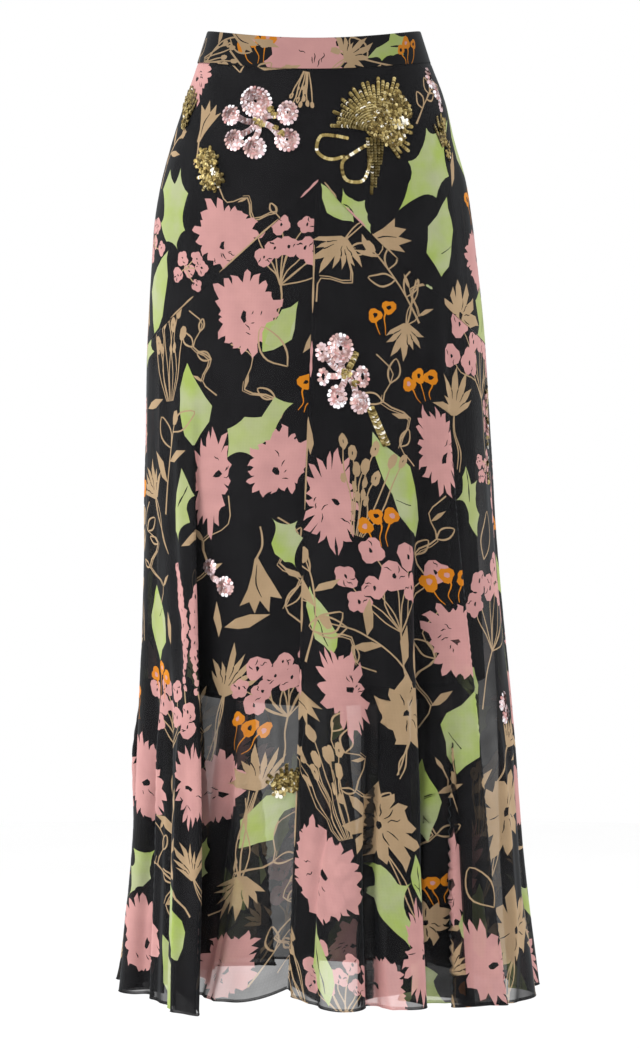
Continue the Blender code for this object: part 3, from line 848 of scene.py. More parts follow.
def pale_blossoms(rng, size):
    """A loose group of pink blossoms with short stems between."""
    shapes = []
    for i in range(6):
        turn = TAU * i / 6 + rng.uniform(-0.3, 0.3)
        x, y = around(size * (0.34 if i else 0.0), turn)
        shapes.append(("tan", stroke(rng, (0, -size * 0.1), (x, y), (1.4, 1.0), 0.1, 2)))
        shapes += moved_all(blossom(rng, size * rng.uniform(0.15, 0.19)), x, y)
    return shapes


# The motifs that fill the open ground, in turns: which, smallest and largest size, how often,
# and how far they lean from upright in radians.
SCATTER = (
    (
        (stemmed_aster, 66, 80, 6, 0.5),
        (aster, 62, 80, 5, 3.0),
        (ragged, 74, 94, 5, 0.5),
        (umbel, 96, 120, 5, 0.4),
        (split_leaf, 84, 116, 6, 0.7),
        (fan_flower, 60, 76, 4, 0.7),
        (star_flower, 58, 72, 3, 3.0),
        (spike, 96, 120, 1, 0.12),
    ),
    (
        (leaf, 66, 104, 4, 0.7),
        (split_leaf, 60, 86, 5, 0.8),
        (seed_bundle, 84, 116, 5, 0.5),
        (trumpet, 58, 74, 4, 0.6),
        (pale_blossoms, 46, 60, 4, 3.0),
        (fan_flower, 50, 62, 3, 0.8),
        (sprig, 100, 130, 6, 0.6),
    ),
    (
        (sprig, 66, 96, 6, 0.8),
        (vine, 84, 124, 6, 0.8),
        (leaf, 40, 60, 3, 0.9),
        (orange_sprig, 38, 52, 4, 0.4),
        (loop_leaf, 40, 58, 4, 1.2),
        (blade, 34, 50, 3, 1.4),
    ),
)
SCATTER_SPACING = (96.0, 74.0, 66.0)
# How many tries are made for each motif that would fit, and how far past a panel's ends.
TRIES = 9
PAST_ENDS = 10
# A motif stays off a panel unless this share of it shows there.
LEAST_INSIDE = 0.25


def contains(outline, points):
    """Which points lie inside a closed outline."""
    x, y = points[:, 0][:, None], points[:, 1][:, None]
    ax, ay = outline[:, 0], outline[:, 1]
    bx, by = np.roll(ax, -1), np.roll(ay, -1)
    spans = (ay > y) != (by > y)
    slope = np.where(by == ay, 1.0, by - ay)
    cross = ax + (y - ay) * (bx - ax) / slope
    return (np.sum(spans & (x < cross), axis=1) % 2).astype(bool)


def in_box(outline, points):
    """The numbers of the points that lie in the box round an outline."""
    low = outline.min(axis=0)
    high = outline.max(axis=0)
    return np.nonzero(np.all((points > low) & (points < high), axis=1))[0]


def grown(mask):
    """The cells of a mask and those beside them."""
    wider = mask.copy()
    wider[1:] |= mask[:-1]
    wider[:-1] |= mask[1:]
    wider[:, 1:] |= mask[:, :-1]
    wider[:, :-1] |= mask[:, 1:]
    return wider


class Print:
    """The motifs of one panel, and which of its ground they cover, in cells of a few mm."""

    CELL = 3.0
    CELLS_KEPT_CLEAR = 2

    def __init__(self, chart, seed):
        self.chart = chart
        self.rng = random.Random(seed)
        self.shapes = []
        half = chart.width.max() / 2
        self.low = np.array([-half, chart.v[0]])
        across = np.arange(2 * half // self.CELL + 1)
        down = np.arange((chart.v[-1] - chart.v[0]) // self.CELL + 1)
        numbers = np.stack(np.meshgrid(across, down, indexing="ij"), axis=-1)
        self.cells = self.low + (numbers + 0.5) * self.CELL
        self.open = chart.inside(self.cells.reshape(-1, 2)).reshape(numbers.shape[:2])
        self.used = np.zeros_like(self.open)

    def window(self, outline):
        """The block of cells round an outline, with room for what is kept clear."""
        low = np.floor((outline.min(axis=0) - self.low) / self.CELL).astype(int) - 2
        high = np.ceil((outline.max(axis=0) - self.low) / self.CELL).astype(int) + 3
        low = np.clip(low, 0, self.used.shape)
        high = np.clip(high, 0, self.used.shape)
        return (slice(low[0], high[0]), slice(low[1], high[1]))

    def cover(self, shapes):
        """The cells that a motif's shapes cover, as windows and masks."""
        covered = []
        for ink, outline in shapes:
            if ink == "black":
                continue
            where = self.window(outline)
            cells = self.cells[where]
            if cells.size:
                mask = contains(outline, cells.reshape(-1, 2)).reshape(cells.shape[:2])
                covered.append((where, mask))
        return covered

    def lay(self, motif, size, u, v, turn, flip, most=None):
        """Lay a motif down, unless it would overlap others by more than a share."""
        drawn = motif(self.rng, size)
        shapes = []
        for ink, points in drawn:
            points = points * np.array([-1.0 if flip else 1.0, 1.0])
            turned = moved(points, 0.0, 0.0, turn)
            shapes.append((ink, np.stack([u + turned[:, 0], v - turned[:, 1]], axis=-1)))
        covered = self.cover(shapes)
        total = sum(int(mask.sum()) for _, mask in covered)
        if most is not None:
            clash = sum(int((mask & self.used[where]).sum()) for where, mask in covered)
            inside = sum(int((mask & self.open[where]).sum()) for where, mask in covered)
            if total == 0 or inside < LEAST_INSIDE * total or clash > most * total:
                return
        for where, mask in covered:
            for _ in range(self.CELLS_KEPT_CLEAR):
                mask = grown(mask)
            self.used[where] |= mask
        self.shapes += shapes

    def keep_clear(self, u, v, radius):
        """Keep the scattered motifs off the ground round a flat place."""
        self.used |= np.hypot(self.cells[..., 0] - u, self.cells[..., 1] - v) < radius

    def scatter(self, plenty=1.0, most=0.05):
        """Fill the open ground, the largest motifs first."""
        area = self.open.sum() * self.CELL ** 2
        v_low, v_high = self.chart.v[0], self.chart.v[-1]
        for turn_of, spacing in zip(SCATTER, SCATTER_SPACING):
            kinds = [row for row in turn_of for _ in range(row[3])]
            for _ in range(int(plenty * TRIES * area / spacing ** 2)):
                v = self.rng.uniform(v_low - PAST_ENDS, v_high + PAST_ENDS)
                half = float(self.chart.half_width(v))
                u = self.rng.uniform(-half, half)
                if not self.open_at(u, v):
                    continue
                motif, smallest, largest, _, lean = self.rng.choice(kinds)
                size = self.rng.uniform(smallest, largest)
                turn = self.rng.uniform(-lean, lean)
                self.lay(motif, size, u, v, turn, self.rng.random() < 0.5, most)

    def open_at(self, u, v):
        """Whether a flat place is on the panel, with no motif there."""
        place = np.floor((np.array([u, v]) - self.low) / self.CELL).astype(int)
        if np.any(place < 0) or np.any(place >= self.used.shape):
            return False
        return bool(self.open[tuple(place)] and not self.used[tuple(place)])


# The cloth's fine form.

# Soft troughs and ridges: each has its place across its panel at its top, in mm
# from the panel's middle, how far it drifts sideways down its length, its top and bottom, its
# half-width and how far it goes in (-) or stands out (+).
CREASES = {
    "columns": ("across", "drift", "top", "bottom", "half_width", "height"),
    "yoke_front": (
        (-150, -10, 60, 230, 16, -1.6),
        (-95, -14, 30, 175, 11, 1.1),
        (-48, -6, 20, 130, 14, -0.9),
        (40, 8, 15, 120, 12, 0.9),
        (88, 16, 40, 190, 15, -1.4),
        (132, 20, 70, 250, 10, 1.2),
        (176, 12, 90, 290, 14, -1.7),
    ),
    "skirt_front_right": (
        (-118, -30, 300, 640, 16, -2.6),
        (-86, -12, 260, 560, 9, 1.5),
        (-52, 18, 230, 700, 13, -2.2),
        (-20, -16, 330, 880, 8, 1.8),
        (14, 26, 190, 520, 12, -1.7),
        (44, -8, 410, 940, 9, -2.4),
        (72, 12, 200, 610, 15, 1.6),
        (-150, -80, 620, 960, 10, 2.1),
        (120, 60, 650, 970, 11, -2.3),
        (-87, -78, 640, 1090, 8, 6.5),
        (-64, -57, 610, 1120, 7, -7.0),
        (-40, -36, 660, 1080, 8, 7.5),
        (-112, -98, 700, 1100, 7, -5.0),
        (94, 85, 620, 1100, 7, -7.5),
        (112, 100, 660, 1110, 6, 6.0),
        (60, 52, 720, 1090, 8, 5.0),
    ),
    "skirt_front_left": (
        (-84, 10, 220, 650, 14, -2.0),
        (-58, -26, 330, 860, 9, 1.7),
        (-18, 14, 240, 540, 12, 1.4),
        (16, -20, 200, 720, 16, -2.8),
        (46, 24, 360, 930, 8, 1.9),
        (92, 30, 260, 600, 13, -1.9),
        (128, 44, 330, 820, 10, 2.2),
        (160, 70, 480, 960, 12, -2.5),
        (-160, -60, 640, 970, 10, -2.0),
        (-168, -153, 630, 1100, 7, 6.5),
        (-150, -138, 680, 1090, 6, -6.0),
        (-101, -92, 640, 1110, 7, -7.5),
        (-87, -79, 600, 1080, 6, 6.0),
        (-16, -15, 620, 1100, 8, 7.5),
        (1, 3, 670, 1090, 6, -7.0),
        (14, 12, 640, 1120, 7, 6.0),
        (66, 60, 700, 1100, 8, -5.5),
        (112, 102, 650, 1090, 8, 4.5),
    ),
    "skirt_back_left": (
        (-140, -20, 120, 430, 15, -1.9),
        (-96, -34, 200, 690, 11, 1.8),
        (-40, 12, 90, 380, 13, -1.3),
        (10, -28, 260, 820, 9, -2.3),
        (58, 18, 160, 560, 14, 1.7),
        (104, 46, 300, 900, 12, -2.4),
        (-30, 40, 520, 960, 10, 2.2),
        (190, 60, 600, 970, 11, 1.8),
        (-163, -200, 640, 1100, 8, 6.5),
        (-130, -160, 600, 1090, 7, -7.0),
        (-82, -100, 660, 1110, 8, 7.5),
        (-22, -27, 620, 1080, 7, -6.5),
        (12, 14, 650, 1100, 7, 7.0),
        (66, 80, 610, 1120, 8, -7.5),
        (108, 132, 670, 1090, 7, 6.0),
        (172, 212, 640, 1100, 8, -6.5),
    ),
    "skirt_back_right": (
        (-128, -44, 240, 760, 12, -2.2),
        (-82, 16, 110, 420, 14, 1.4),
        (-34, -20, 180, 610, 10, -1.9),
        (22, 30, 330, 880, 9, 2.1),
        (64, -10, 100, 470, 15, -1.6),
        (118, 38, 210, 700, 11, 1.8),
        (-190, -40, 560, 970, 12, -2.1),
        (60, 20, 640, 965, 9, -2.0),
        (-176, -186, 630, 1100, 8, -6.5),
        (-138, -146, 610, 1090, 7, 7.0),
        (-96, -102, 660, 1110, 7, -7.0),
        (-52, -55, 640, 1080, 8, 6.5),
        (4, 5, 620, 1100, 7, -7.5),
        (46, 48, 670, 1120, 8, 7.0),
        (98, 104, 600, 1090, 7, -6.0),
        (140, 148, 650, 1100, 8, 6.5),
        (180, 192, 690, 1110, 7, -5.5),
    ),
}
# The share of a crease's length in which it fades in, and out again.
CREASE_FADE = 0.22
# Creases calm down this near a seam, in mm, and the cloth sinks a little into the seam itself.
SEAM_CALM = 16.0
SEAM_SINK = 0.7
SEAM_SINK_WIDTH = 2.2


def crease_height(name, u, v):
    """How far the creases of a panel stand out, in mm."""
    height = np.zeros_like(u)
    for across, drift, top, bottom, half_width, size in CREASES[name]:
        part = (v - top) / (bottom - top)
        centre = across + drift * np.clip(part, 0.0, 1.0) * (1.0 + 0.25 * np.sin(part * 4.0))
        shown = smoothstep(part / CREASE_FADE) * smoothstep((1 - part) / CREASE_FADE)
        height += size * shown * np.exp(-(((u - centre) / half_width) ** 2))
    return height


def cloth_place(chart, name, u, v, lifted=0.0):
    """Points of a panel's cloth at flat places, raised from its face by a height in mm."""
    s = chart.lift(u, v)
    to_side = chart.half_width(v) - np.abs(u)
    to_top = v - chart.top_edge(s)
    to_edge = np.minimum(to_side, np.maximum(to_top, 0.0))
    height = crease_height(name, u, v) * smoothstep(to_edge / SEAM_CALM)
    height = height - SEAM_SINK * np.exp(-((to_edge / SEAM_SINK_WIDTH) ** 2))
    normal = face_normal(chart.point_at, s, v)
    return chart.point_at(s, v) + normal * ((height + lifted) * MM)[:, None], normal


# Meshes.

# Sizes in mm: between the mesh's own points and how far they stay from an edge, between points
# on an outline, how far out a motif may lie and still cut the mesh, and what counts as one point.
LATTICE = 4.4
LATTICE_CLEAR = 1.2
OUTLINE_STEP = 3.0
MOTIF_REACH = 3.0
ONE_POINT = 1e-4
# The hem's narrow turning, how far its second layer lies behind the first, and the rolled edge.
HEM_TURN = 2.6
HEM_LAYER = 0.7
HEM_RADIUS = 0.55
HEM_SIDES = 6
# The cloth turned in behind a panel's first side: how wide, how far below the face, by how much
# that changes down the seam, and the panels that have it.
TURNING_COLUMNS = (0.3, 2.0, 4.5)
TURNING_DEPTH = 0.9
TURNING_RIPPLE = 0.25
TURNED = ("skirt_front_left", "skirt_back_left", "skirt_back_right")
# Pleats that lie folded behind the face in the sheer part of the hem: where across the panel, at
# the lining's hem and at the skirt's hem, as shares of its half-width, then their half-widths there
# in mm, and how far above the skirt's hem they end, on their two sides.
UNDERFOLDS = {
    "skirt_front_right": ((-0.63, -0.63, 30, 45, 2, 9), (-0.24, -0.24, 17, 26, 3, 1),
                          (0.55, 0.60, 7, 15, 26, 12)),
    "skirt_front_left": ((-0.89, -0.90, 15, 26, 14, 3), (-0.51, -0.52, 22, 34, 2, 18),
                         (-0.02, -0.01, 19, 31, 8, 2)),
    "skirt_back_left": ((0.05, 0.03, 16, 26, 5, 14), (0.50, 0.50, 17, 27, 22, 6)),
    "skirt_back_right": ((0.18, 0.18, 17, 26, 3, 12), (0.66, 0.68, 14, 22, 16, 5),
                         (-0.83, -0.84, 8, 13, 18, 7)),
}
# How far behind the face a pleat's two layers lie, and how far below the waist it starts, in mm.
UNDERFOLD_DEPTHS = (2.2, 4.4)
UNDERFOLD_TOP = 653.0
# How much a pleat sways from side to side on its way down, as a share of the panel's half-width.
UNDERFOLD_SWAY = 0.012
UNDERFOLD_ROWS = 44
# Slivers of the print's colours that end at a seam: ink, side or bottom edge, from and to along it,
# and the width. Places are shares of the bottom edge, or mm down the first side.
SEAM_MARKS = {
    "yoke_front": (
        ("tan", "bottom", 0.30, 0.36, 2.4),
        ("pink", "bottom", 0.40, 0.435, 3.0),
        ("tan", "bottom", 0.455, 0.495, 2.0),
        ("pink", "bottom", 0.52, 0.57, 2.6),
        ("tan", "bottom", 0.60, 0.67, 2.2),
        ("green", "bottom", 0.73, 0.77, 3.0),
        ("tan", "bottom", 0.17, 0.22, 2.2),
    ),
    "skirt_front_left": (
        ("tan", "side", 190, 262, 2.2),
        ("pink", "side", 292, 330, 2.8),
        ("tan", "side", 372, 470, 1.8),
        ("tan", "side", 540, 600, 2.4),
        ("pink", "side", 640, 668, 2.6),
        ("tan", "side", 760, 830, 2.0),
    ),
    "skirt_back_right": (
        ("tan", "side", 120, 210, 2.2),
        ("pink", "side", 330, 372, 2.8),
        ("tan", "side", 520, 640, 2.0),
    ),
    "skirt_back_left": (
        ("tan", "side", 150, 240, 2.0),
        ("green", "side", 410, 440, 2.6),
    ),
}


def lattice(chart):
    """Flat points spread evenly over a panel, clear of its edges."""
    half = chart.width.max() / 2
    rows = []
    for k, v in enumerate(np.arange(chart.v[0], chart.v[-1], LATTICE * math.sqrt(3) / 2)):
        u = np.arange(-half + (k % 2) * LATTICE / 2, half, LATTICE)
        rows.append(np.stack([u, np.full_like(u, v)], axis=-1))
    points = np.concatenate(rows)
    return points[chart.inside(points, LATTICE_CLEAR)]


def ink_at(shapes, points):
    """The ink at each flat point: that of the last shape it lies in, or the black ground."""
    inks = np.full(len(points), BLACK)
    for ink, shape in shapes:
        near = in_box(shape, points)
        inks[near[contains(shape, points[near])]] = INKS.index(ink)
    return inks


def printed_triangles(chart, shapes, lines):
    """Flat vertices, triangles and the ink of each, cut along the outlines of the print."""
    outline = chart.outline(OUTLINE_STEP)
    low, high = outline.min(axis=0), outline.max(axis=0)
    shapes = [
        (ink, shape) for ink, shape in shapes
        if np.all(shape.max(axis=0) >= low) and np.all(shape.min(axis=0) <= high)
        and chart.inside(shape, -MOTIF_REACH).any()
    ]
    points = [lattice(chart)]
    edges = []
    start = len(points[0])
    closed = [outline] + [shape for _, shape in shapes]
    for i, line in enumerate([*closed, *lines]):
        count = len(line)
        points.append(line)
        steps = count if i < len(closed) else count - 1
        edges += [(start + k, start + (k + 1) % count) for k in range(steps)]
        start += count
    flat = np.concatenate(points)
    found = geometry.delaunay_2d_cdt([Vector(point) for point in flat], edges, [], 0, ONE_POINT)
    vertices = np.array([tuple(point) for point in found[0]])
    triangles = np.array([face for face in found[2] if len(face) == 3])
    centres = vertices[triangles].mean(axis=1)
    keep = chart.inside(centres)
    used, places = np.unique(triangles[keep], return_inverse=True)
    return vertices[used], places.reshape(-1, 3), ink_at(shapes, centres[keep])


def grid_faces(place):
    """Two triangles for each cell of a grid of point numbers."""
    low, high = place[:-1, :-1].ravel(), place[:-1, 1:].ravel()
    far_low, far_high = place[1:, :-1].ravel(), place[1:, 1:].ravel()
    return np.concatenate([np.stack([low, far_low, far_high], axis=-1),
                           np.stack([low, far_high, high], axis=-1)])


def repeated(solid, count, corners):
    """The faces of many like solids that each have so many corners of their own."""
    return (np.arange(count)[:, None, None] * corners + np.array(solid)).reshape(-1, 3)


def prism_sides(sides, start=0):
    """The faces between a ring of corners and the ring that follows it."""
    faces = []
    for k in range(sides):
        after = (k + 1) % sides
        faces += [(k, k + sides, after + sides), (k, after + sides, after)]
    return [tuple(corner + start for corner in face) for face in faces]


def make_mesh(name, vertices, faces, materials, slots=0, flat=None):
    """A smooth object from arrays, with one material slot for each ink."""
    mesh = bpy.data.meshes.new(name)
    mesh.from_pydata(vertices.tolist(), [], [tuple(face) for face in faces.tolist()])
    for made in materials:
        mesh.materials.append(made)
    mesh.polygons.foreach_set("material_index", np.full(len(faces), slots, np.int32))
    if flat is not None:
        layer = mesh.uv_layers.new(name="cloth")
        layer.data.foreach_set("uv", (flat[faces.ravel()] * MM).astype(np.float32).ravel())
    mesh.shade_smooth()
    mesh.update()
    made = bpy.data.objects.new(name, mesh)
    bpy.context.scene.collection.objects.link(made)
    return made


def tube(centres, radius, sides, outward, along):
    """Rings of points round a line, and their faces."""
    side = np.cross(along, outward)
    turns = (np.arange(sides) * TAU / sides)[None, :, None]
    rings = centres[:, None] + radius * (np.cos(turns) * outward[:, None] + np.sin(turns) * side[:, None])
    place = np.arange(len(centres) * sides).reshape(len(centres), sides)
    closed = np.concatenate([place, place[:, :1]], axis=1)
    return rings.reshape(-1, 3), grid_faces(closed.T)


def seam_marks(chart, marks):
    """The outlines of a panel's slivers of colour beside its seams."""
    shapes = []
    for ink, where, start, end, width in marks:
        share = np.linspace(start, end, 14)
        if where == "bottom":
            s = chart.first + (chart.last - chart.first) * share
            v = chart.bottom_edge(s) - width * 0.45
            u = chart.lay(s, v)
        else:
            v = share
            u = width * 0.45 - chart.half_width(v)
        line = np.stack([u, v], axis=-1)
        shapes.append((ink, ribbon(line, (0.4, width, width * 0.6, width * 1.15, 0.5))))
    return shapes


def behind_face(chart, name, u, v, depth):
    """A grid of cloth behind a panel's face, as points, flat places and faces."""
    flat = np.stack([u.ravel(), v.ravel()], axis=-1)
    points, _ = cloth_place(chart, name, flat[:, 0], flat[:, 1], -depth.ravel())
    return points, flat, grid_faces(np.arange(v.size).reshape(v.shape))


def seam_turning(chart, name):
    """The narrow strip of cloth turned in behind a panel's first side."""
    top = chart.top_edge(np.array([chart.first]))[0] + 3
    rows = np.arange(top, chart.v[-1] - HEM_TURN, 7.0)
    v, inward = np.meshgrid(rows, TURNING_COLUMNS, indexing="ij")
    depth = TURNING_DEPTH + TURNING_RIPPLE * np.sin(v / 11.0)
    return behind_face(chart, name, inward - chart.half_width(v), v, depth)


def underfold(chart, name, row):
    """A pleat folded flat behind the face: two layers joined at one edge."""
    at_top, at_hem, half_top, half_hem, lift_first, lift_last = row
    down = np.linspace(0.0, 1.0, UNDERFOLD_ROWS)[:, None]
    share = at_top + (at_hem - at_top) * down + UNDERFOLD_SWAY * np.sin(down * 5.0)
    half = half_top + (half_hem - half_top) * down
    near, far = UNDERFOLD_DEPTHS
    across = np.concatenate([np.linspace(-1.0, 1.0, 9), np.linspace(1.0, -1.0, 9)])
    depth = np.concatenate([np.linspace(0.6, near, 3), np.full(6, near), np.full(9, far)])
    lift = (lift_first + lift_last + (lift_last - lift_first) * across) / 2
    v = UNDERFOLD_TOP + down * (chart.v[-1] - lift - UNDERFOLD_TOP)
    u = share * chart.half_width(v) + across * half
    return behind_face(chart, name, u, v, np.broadcast_to(depth, v.shape))


def turned_hem(points, normals, flat, faces, inks):
    """The second layer of cloth in the hem's narrow turning."""
    turned = np.all(flat[faces][:, :, 1] > SKIRT_DROP / MM - HEM_TURN - 0.05, axis=1)
    used, places = np.unique(faces[turned], return_inverse=True)
    inner = points[used] - normals[used] * HEM_LAYER * MM
    return inner, flat[used], places.reshape(-1, 3), inks[turned]


def rolled_edge(chart, name, shapes):
    """The thin roll along the hem, in the colours of the print above it."""
    flat = chart.line_across(chart.v[-1], int(chart.width[-1] / OUTLINE_STEP))
    edge, out = cloth_place(chart, name, flat[:, 0], flat[:, 1])
    points, faces = tube(edge, HEM_RADIUS * MM, HEM_SIDES, out, unit(np.gradient(edge, axis=0)))
    inks = ink_at(shapes, flat - np.array([0.0, 1.0]))
    return points, np.repeat(flat, HEM_SIDES, axis=0), faces, np.tile(inks[:-1], 2 * HEM_SIDES)


def joined(parts):
    """One mesh from parts, which are each points, flat places, faces and inks."""
    starts = np.cumsum([0] + [len(part[0]) for part in parts])
    points, flat, faces, inks = zip(*parts)
    faces = [part + start for part, start in zip(faces, starts)]
    return [np.concatenate(rows) for rows in (points, flat, faces, inks)]


def print_panel(chart, name, seed, placed, clear):
    """The outlines of a panel's print: the placed motifs, what fills the rest, and seam marks."""
    drawing = Print(chart, seed)
    for motif, size, knot, v, turn, flip in placed:
        drawing.lay(motif, size, chart.lay_one(knot, v), v, turn, flip)
    for knot, v, radius in clear:
        drawing.keep_clear(chart.lay_one(knot, v), v, radius)
    drawing.scatter()
    return drawing.shapes + seam_marks(chart, SEAM_MARKS.get(name, ()))


def skirt_cloth(name, first, last, top, bottom, edges, seed, placed, clear):
    """One printed panel of sheer cloth, with its rolled hem if it reaches the hem."""
    chart = Chart(skirt_face, first, last, top, bottom, edges)
    shapes = print_panel(chart, name, seed, placed, clear)
    at_hem = bottom > SKIRT_DROP / MM - 1.0
    lines = []
    if at_hem:
        lines.append(chart.line_across(bottom - HEM_TURN, int(chart.width[-1] / OUTLINE_STEP))[1:-1])
    flat, faces, inks = printed_triangles(chart, shapes, lines)
    points, normals = cloth_place(chart, name, flat[:, 0], flat[:, 1])
    behind = [underfold(chart, name, row) for row in UNDERFOLDS.get(name, ())]
    if name in TURNED:
        behind.append(seam_turning(chart, name))
    parts = [(points, flat, faces, inks)]
    parts += [(*part, np.full(len(part[2]), BLACK)) for part in behind]
    if at_hem:
        parts.append(turned_hem(points, normals, flat, faces, inks))
        parts.append(rolled_edge(chart, name, shapes))
    all_points, all_flat, all_faces, all_inks = joined(parts)
    piece = make_mesh(name + "_cloth", all_points, all_faces, SHEER, all_inks, all_flat)
    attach(piece, "skirt")
    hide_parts(name)
    # A pleat takes up two layers of twice its half-width at the hem.
    folded = sum(4 * row[3] for row in UNDERFOLDS.get(name, ()))
    wide = float((np.ptp(chart.outline(OUTLINE_STEP)[:, 0]) + folded) * MM)
    long = cloth_length(chart) * MM
    return chart


def cloth_length(chart):
    """The longest line down the panel, in mm."""
    lengths = []
    for s in np.linspace(chart.first, chart.last, 9):
        place = np.array([s])
        v = np.linspace(chart.top_edge(place)[0], chart.bottom_edge(place)[0], 80)
        lengths.append(run_length(chart.point_at(np.full(80, s), v))[-1] / MM)
    return float(max(lengths))


# The front's main motifs: which, its size, its place seen from the front in mm across
# from the middle and below the waist, its turn in degrees and whether it is mirrored.
FRONT_PRINT = (
    (vine, 84, -66, 186, 60, False),
    (vine, 104, 40, 250, -50, True),
    (vine, 104, 108, 262, -28, False),
    (vine, 96, -112, 330, 20, True),
    (vine, 124, -50, 372, 32, False),
    (vine, 124, 88, 390, 14, True),
    (vine, 134, -108, 540, -16, False),
    (vine, 124, -18, 552, 20, True),
    (vine, 116, 112, 528, -20, False),
    (vine, 104, 26, 616, 40, True),
    (vine, 124, 112, 652, -8, False),
    (vine, 112, -168, 540, 8, True),
    (vine, 130, -64, 850, -30, False),
    (vine, 116, 44, 758, 20, True),
    (vine, 124, 120, 806, -14, False),
    (vine, 104, -30, 906, 12, True),
    (vine, 112, 150, 900, 24, False),
    (vine, 104, -152, 862, 10, True),
    (split_leaf, 92, -146, 176, 12, False),
    (split_leaf, 124, 122, 140, -38, False),
    (trumpet, 50, -112, 92, 160, True),
    (seed_bundle, 46, -12, 68, 168, False),
    (trumpet, 58, 74, 216, 100, True),
    (sprig, 56, 118, 70, -40, False),
    (stemmed_aster, 76, -92, 212, 24, False),
    (umbel, 96, -24, 232, -14, False),
    (aster, 80, -70, 292, 0, False),
    (fan_flower, 70, 22, 232, 150, False),
    (leaf, 92, -160, 262, -16, True),
    (leaf, 84, 134, 208, -8, False),
    (star_flower, 74, 152, 292, 20, False),
    (sprig, 96, 84, 262, 30, True),
    (leaf, 62, -34, 306, -30, False),
    (seed_bundle, 100, -152, 330, 6, False),
    (loop_leaf, 50, -26, 346, 40, False),
    (fan_flower, 60, 92, 318, 172, True),
    (leaf, 88, -128, 384, 10, False),
    (split_leaf, 92, -58, 412, -42, False),
    (sprig, 104, -150, 446, -12, True),
    (ragged, 96, -104, 462, 6, False),
    (aster, 72, -34, 444, 0, False),
    (ragged, 92, 18, 482, -12, False),
    (leaf, 118, 84, 466, 24, False),
    (ragged, 84, 128, 428, 10, True),
    (split_leaf, 76, 162, 482, 14, False),
    (seed_bundle, 104, 52, 470, -18, True),
    (orange_sprig, 46, 66, 512, 0, False),
    (split_leaf, 66, -30, 524, 30, True),
    (trumpet, 66, -56, 566, 18, False),
    (umbel, 120, 78, 574, 4, False),
    (orange_sprig, 52, 136, 566, 10, True),
    (aster, 76, 150, 624, 0, False),
    (spike, 124, -136, 612, 2, False),
    (spike, 104, -118, 622, -4, True),
    (leaf, 78, -160, 606, -4, False),
    (leaf, 70, 6, 602, 12, True),
    (sprig, 116, -6, 590, -16, False),
    (fan_flower, 74, -84, 658, -10, False),
    (umbel, 96, -28, 668, 20, True),
    (ragged, 88, 30, 672, 6, False),
    (star_flower, 78, 92, 694, 0, False),
    (leaf, 96, 158, 712, -20, False),
    (umbel, 98, -146, 704, -8, True),
    (orange_sprig, 44, -156, 668, 0, False),
    (sprig, 120, 64, 640, 38, False),
    (aster, 84, -172, 772, 0, False),
    (aster, 76, -100, 776, 0, False),
    (fan_flower, 78, -54, 750, 16, True),
    (split_leaf, 108, -36, 790, -26, False),
    (seed_bundle, 108, 12, 764, 10, True),
    (star_flower, 88, 66, 806, 0, False),
    (leaf, 84, 114, 784, 4, True),
    (seed_bundle, 90, 156, 778, 0, False),
    (star_flower, 84, 194, 800, 0, False),
    (aster, 98, 8, 852, 0, False),
    (sprig, 124, -136, 838, 18, False),
    (ragged, 100, 142, 858, 0, False),
    (leaf, 84, -140, 902, 22, False),
    (split_leaf, 96, 76, 884, 20, True),
    (fan_flower, 76, -80, 880, 176, False),
    (aster, 82, -172, 936, 0, False),
    (aster, 74, -90, 950, 0, False),
    (sprig, 110, -24, 916, -30, True),
    (ragged, 88, 108, 930, -10, False),
    (leaf, 78, 170, 906, 12, False),
    (star_flower, 82, 204, 922, 0, False),
    (umbel, 88, 24, 962, 0, False),
    (aster, 70, 66, 966, 0, False),
    (leaf, 80, 6, 938, 0, False),
)


# Places on the front kept clear for the sequins: mm across, mm below the waist, and how far round.
CLEAR_GROUND = (
    (-57, 100, 48),
    (66, 88, 48),
    (30, 138, 38),
    (6, 116, 22),
    (68, 158, 22),
    (-105, 147, 22),
    (30, 356, 44),
    (66, 412, 16),
    (-100, 562, 20),
    (-28, 767, 24),
    (192, 689, 16),
)


def front_places():
    """A grid over the front of the skirt: knots, drops, and where each point is seen."""
    knots = np.linspace(RIGHT_SIDE_KNOT, LEFT_SIDE_KNOT, 561)
    drops = np.linspace(0.0, SKIRT_DROP / MM, 300)
    knot, v = np.meshgrid(knots, drops, indexing="ij")
    return knot.ravel(), v.ravel(), skirt_face(knot, v).reshape(-1, 3) / MM


# How a place is seen in the picture of 640 by 1048: its middle and its lens, in pixels.
PICTURE_MIDDLE = (320.0, 524.0)
PICTURE_LENS = 2452.8
# The camera looks level along +Y from here, in metres.
CAMERA_PLACE = (0.0064, -2.6, -0.5056)
# How much a place in front is chosen over one behind it that is seen at the same spot.
NEARER_FIRST = 0.08


def in_picture(points):
    """Where points in mm are seen in the picture, in pixels."""
    x, y, z = (points[:, k] * MM for k in range(3))
    away = y - CAMERA_PLACE[1]
    return (PICTURE_MIDDLE[0] + PICTURE_LENS * (x - CAMERA_PLACE[0]) / away,
            PICTURE_MIDDLE[1] - PICTURE_LENS * (z - CAMERA_PLACE[2]) / away)


def front_spot(places, across, below):
    """The panel, knot and drop that are seen from the front at a place in mm."""
    knots, drops, points = places
    miss = np.hypot(points[:, 0] - across, points[:, 2] + below)
    best = np.argmin(miss + NEARER_FIRST * points[:, 1])
    knot, drop = float(knots[best]), float(drops[best])
    if drop < float(yoke_seam_v(np.array([knot]))[0]):
        return "yoke_front", knot, drop
    return ("skirt_front_right" if knot < CENTRE_FRONT_KNOT else "skirt_front_left"), knot, drop


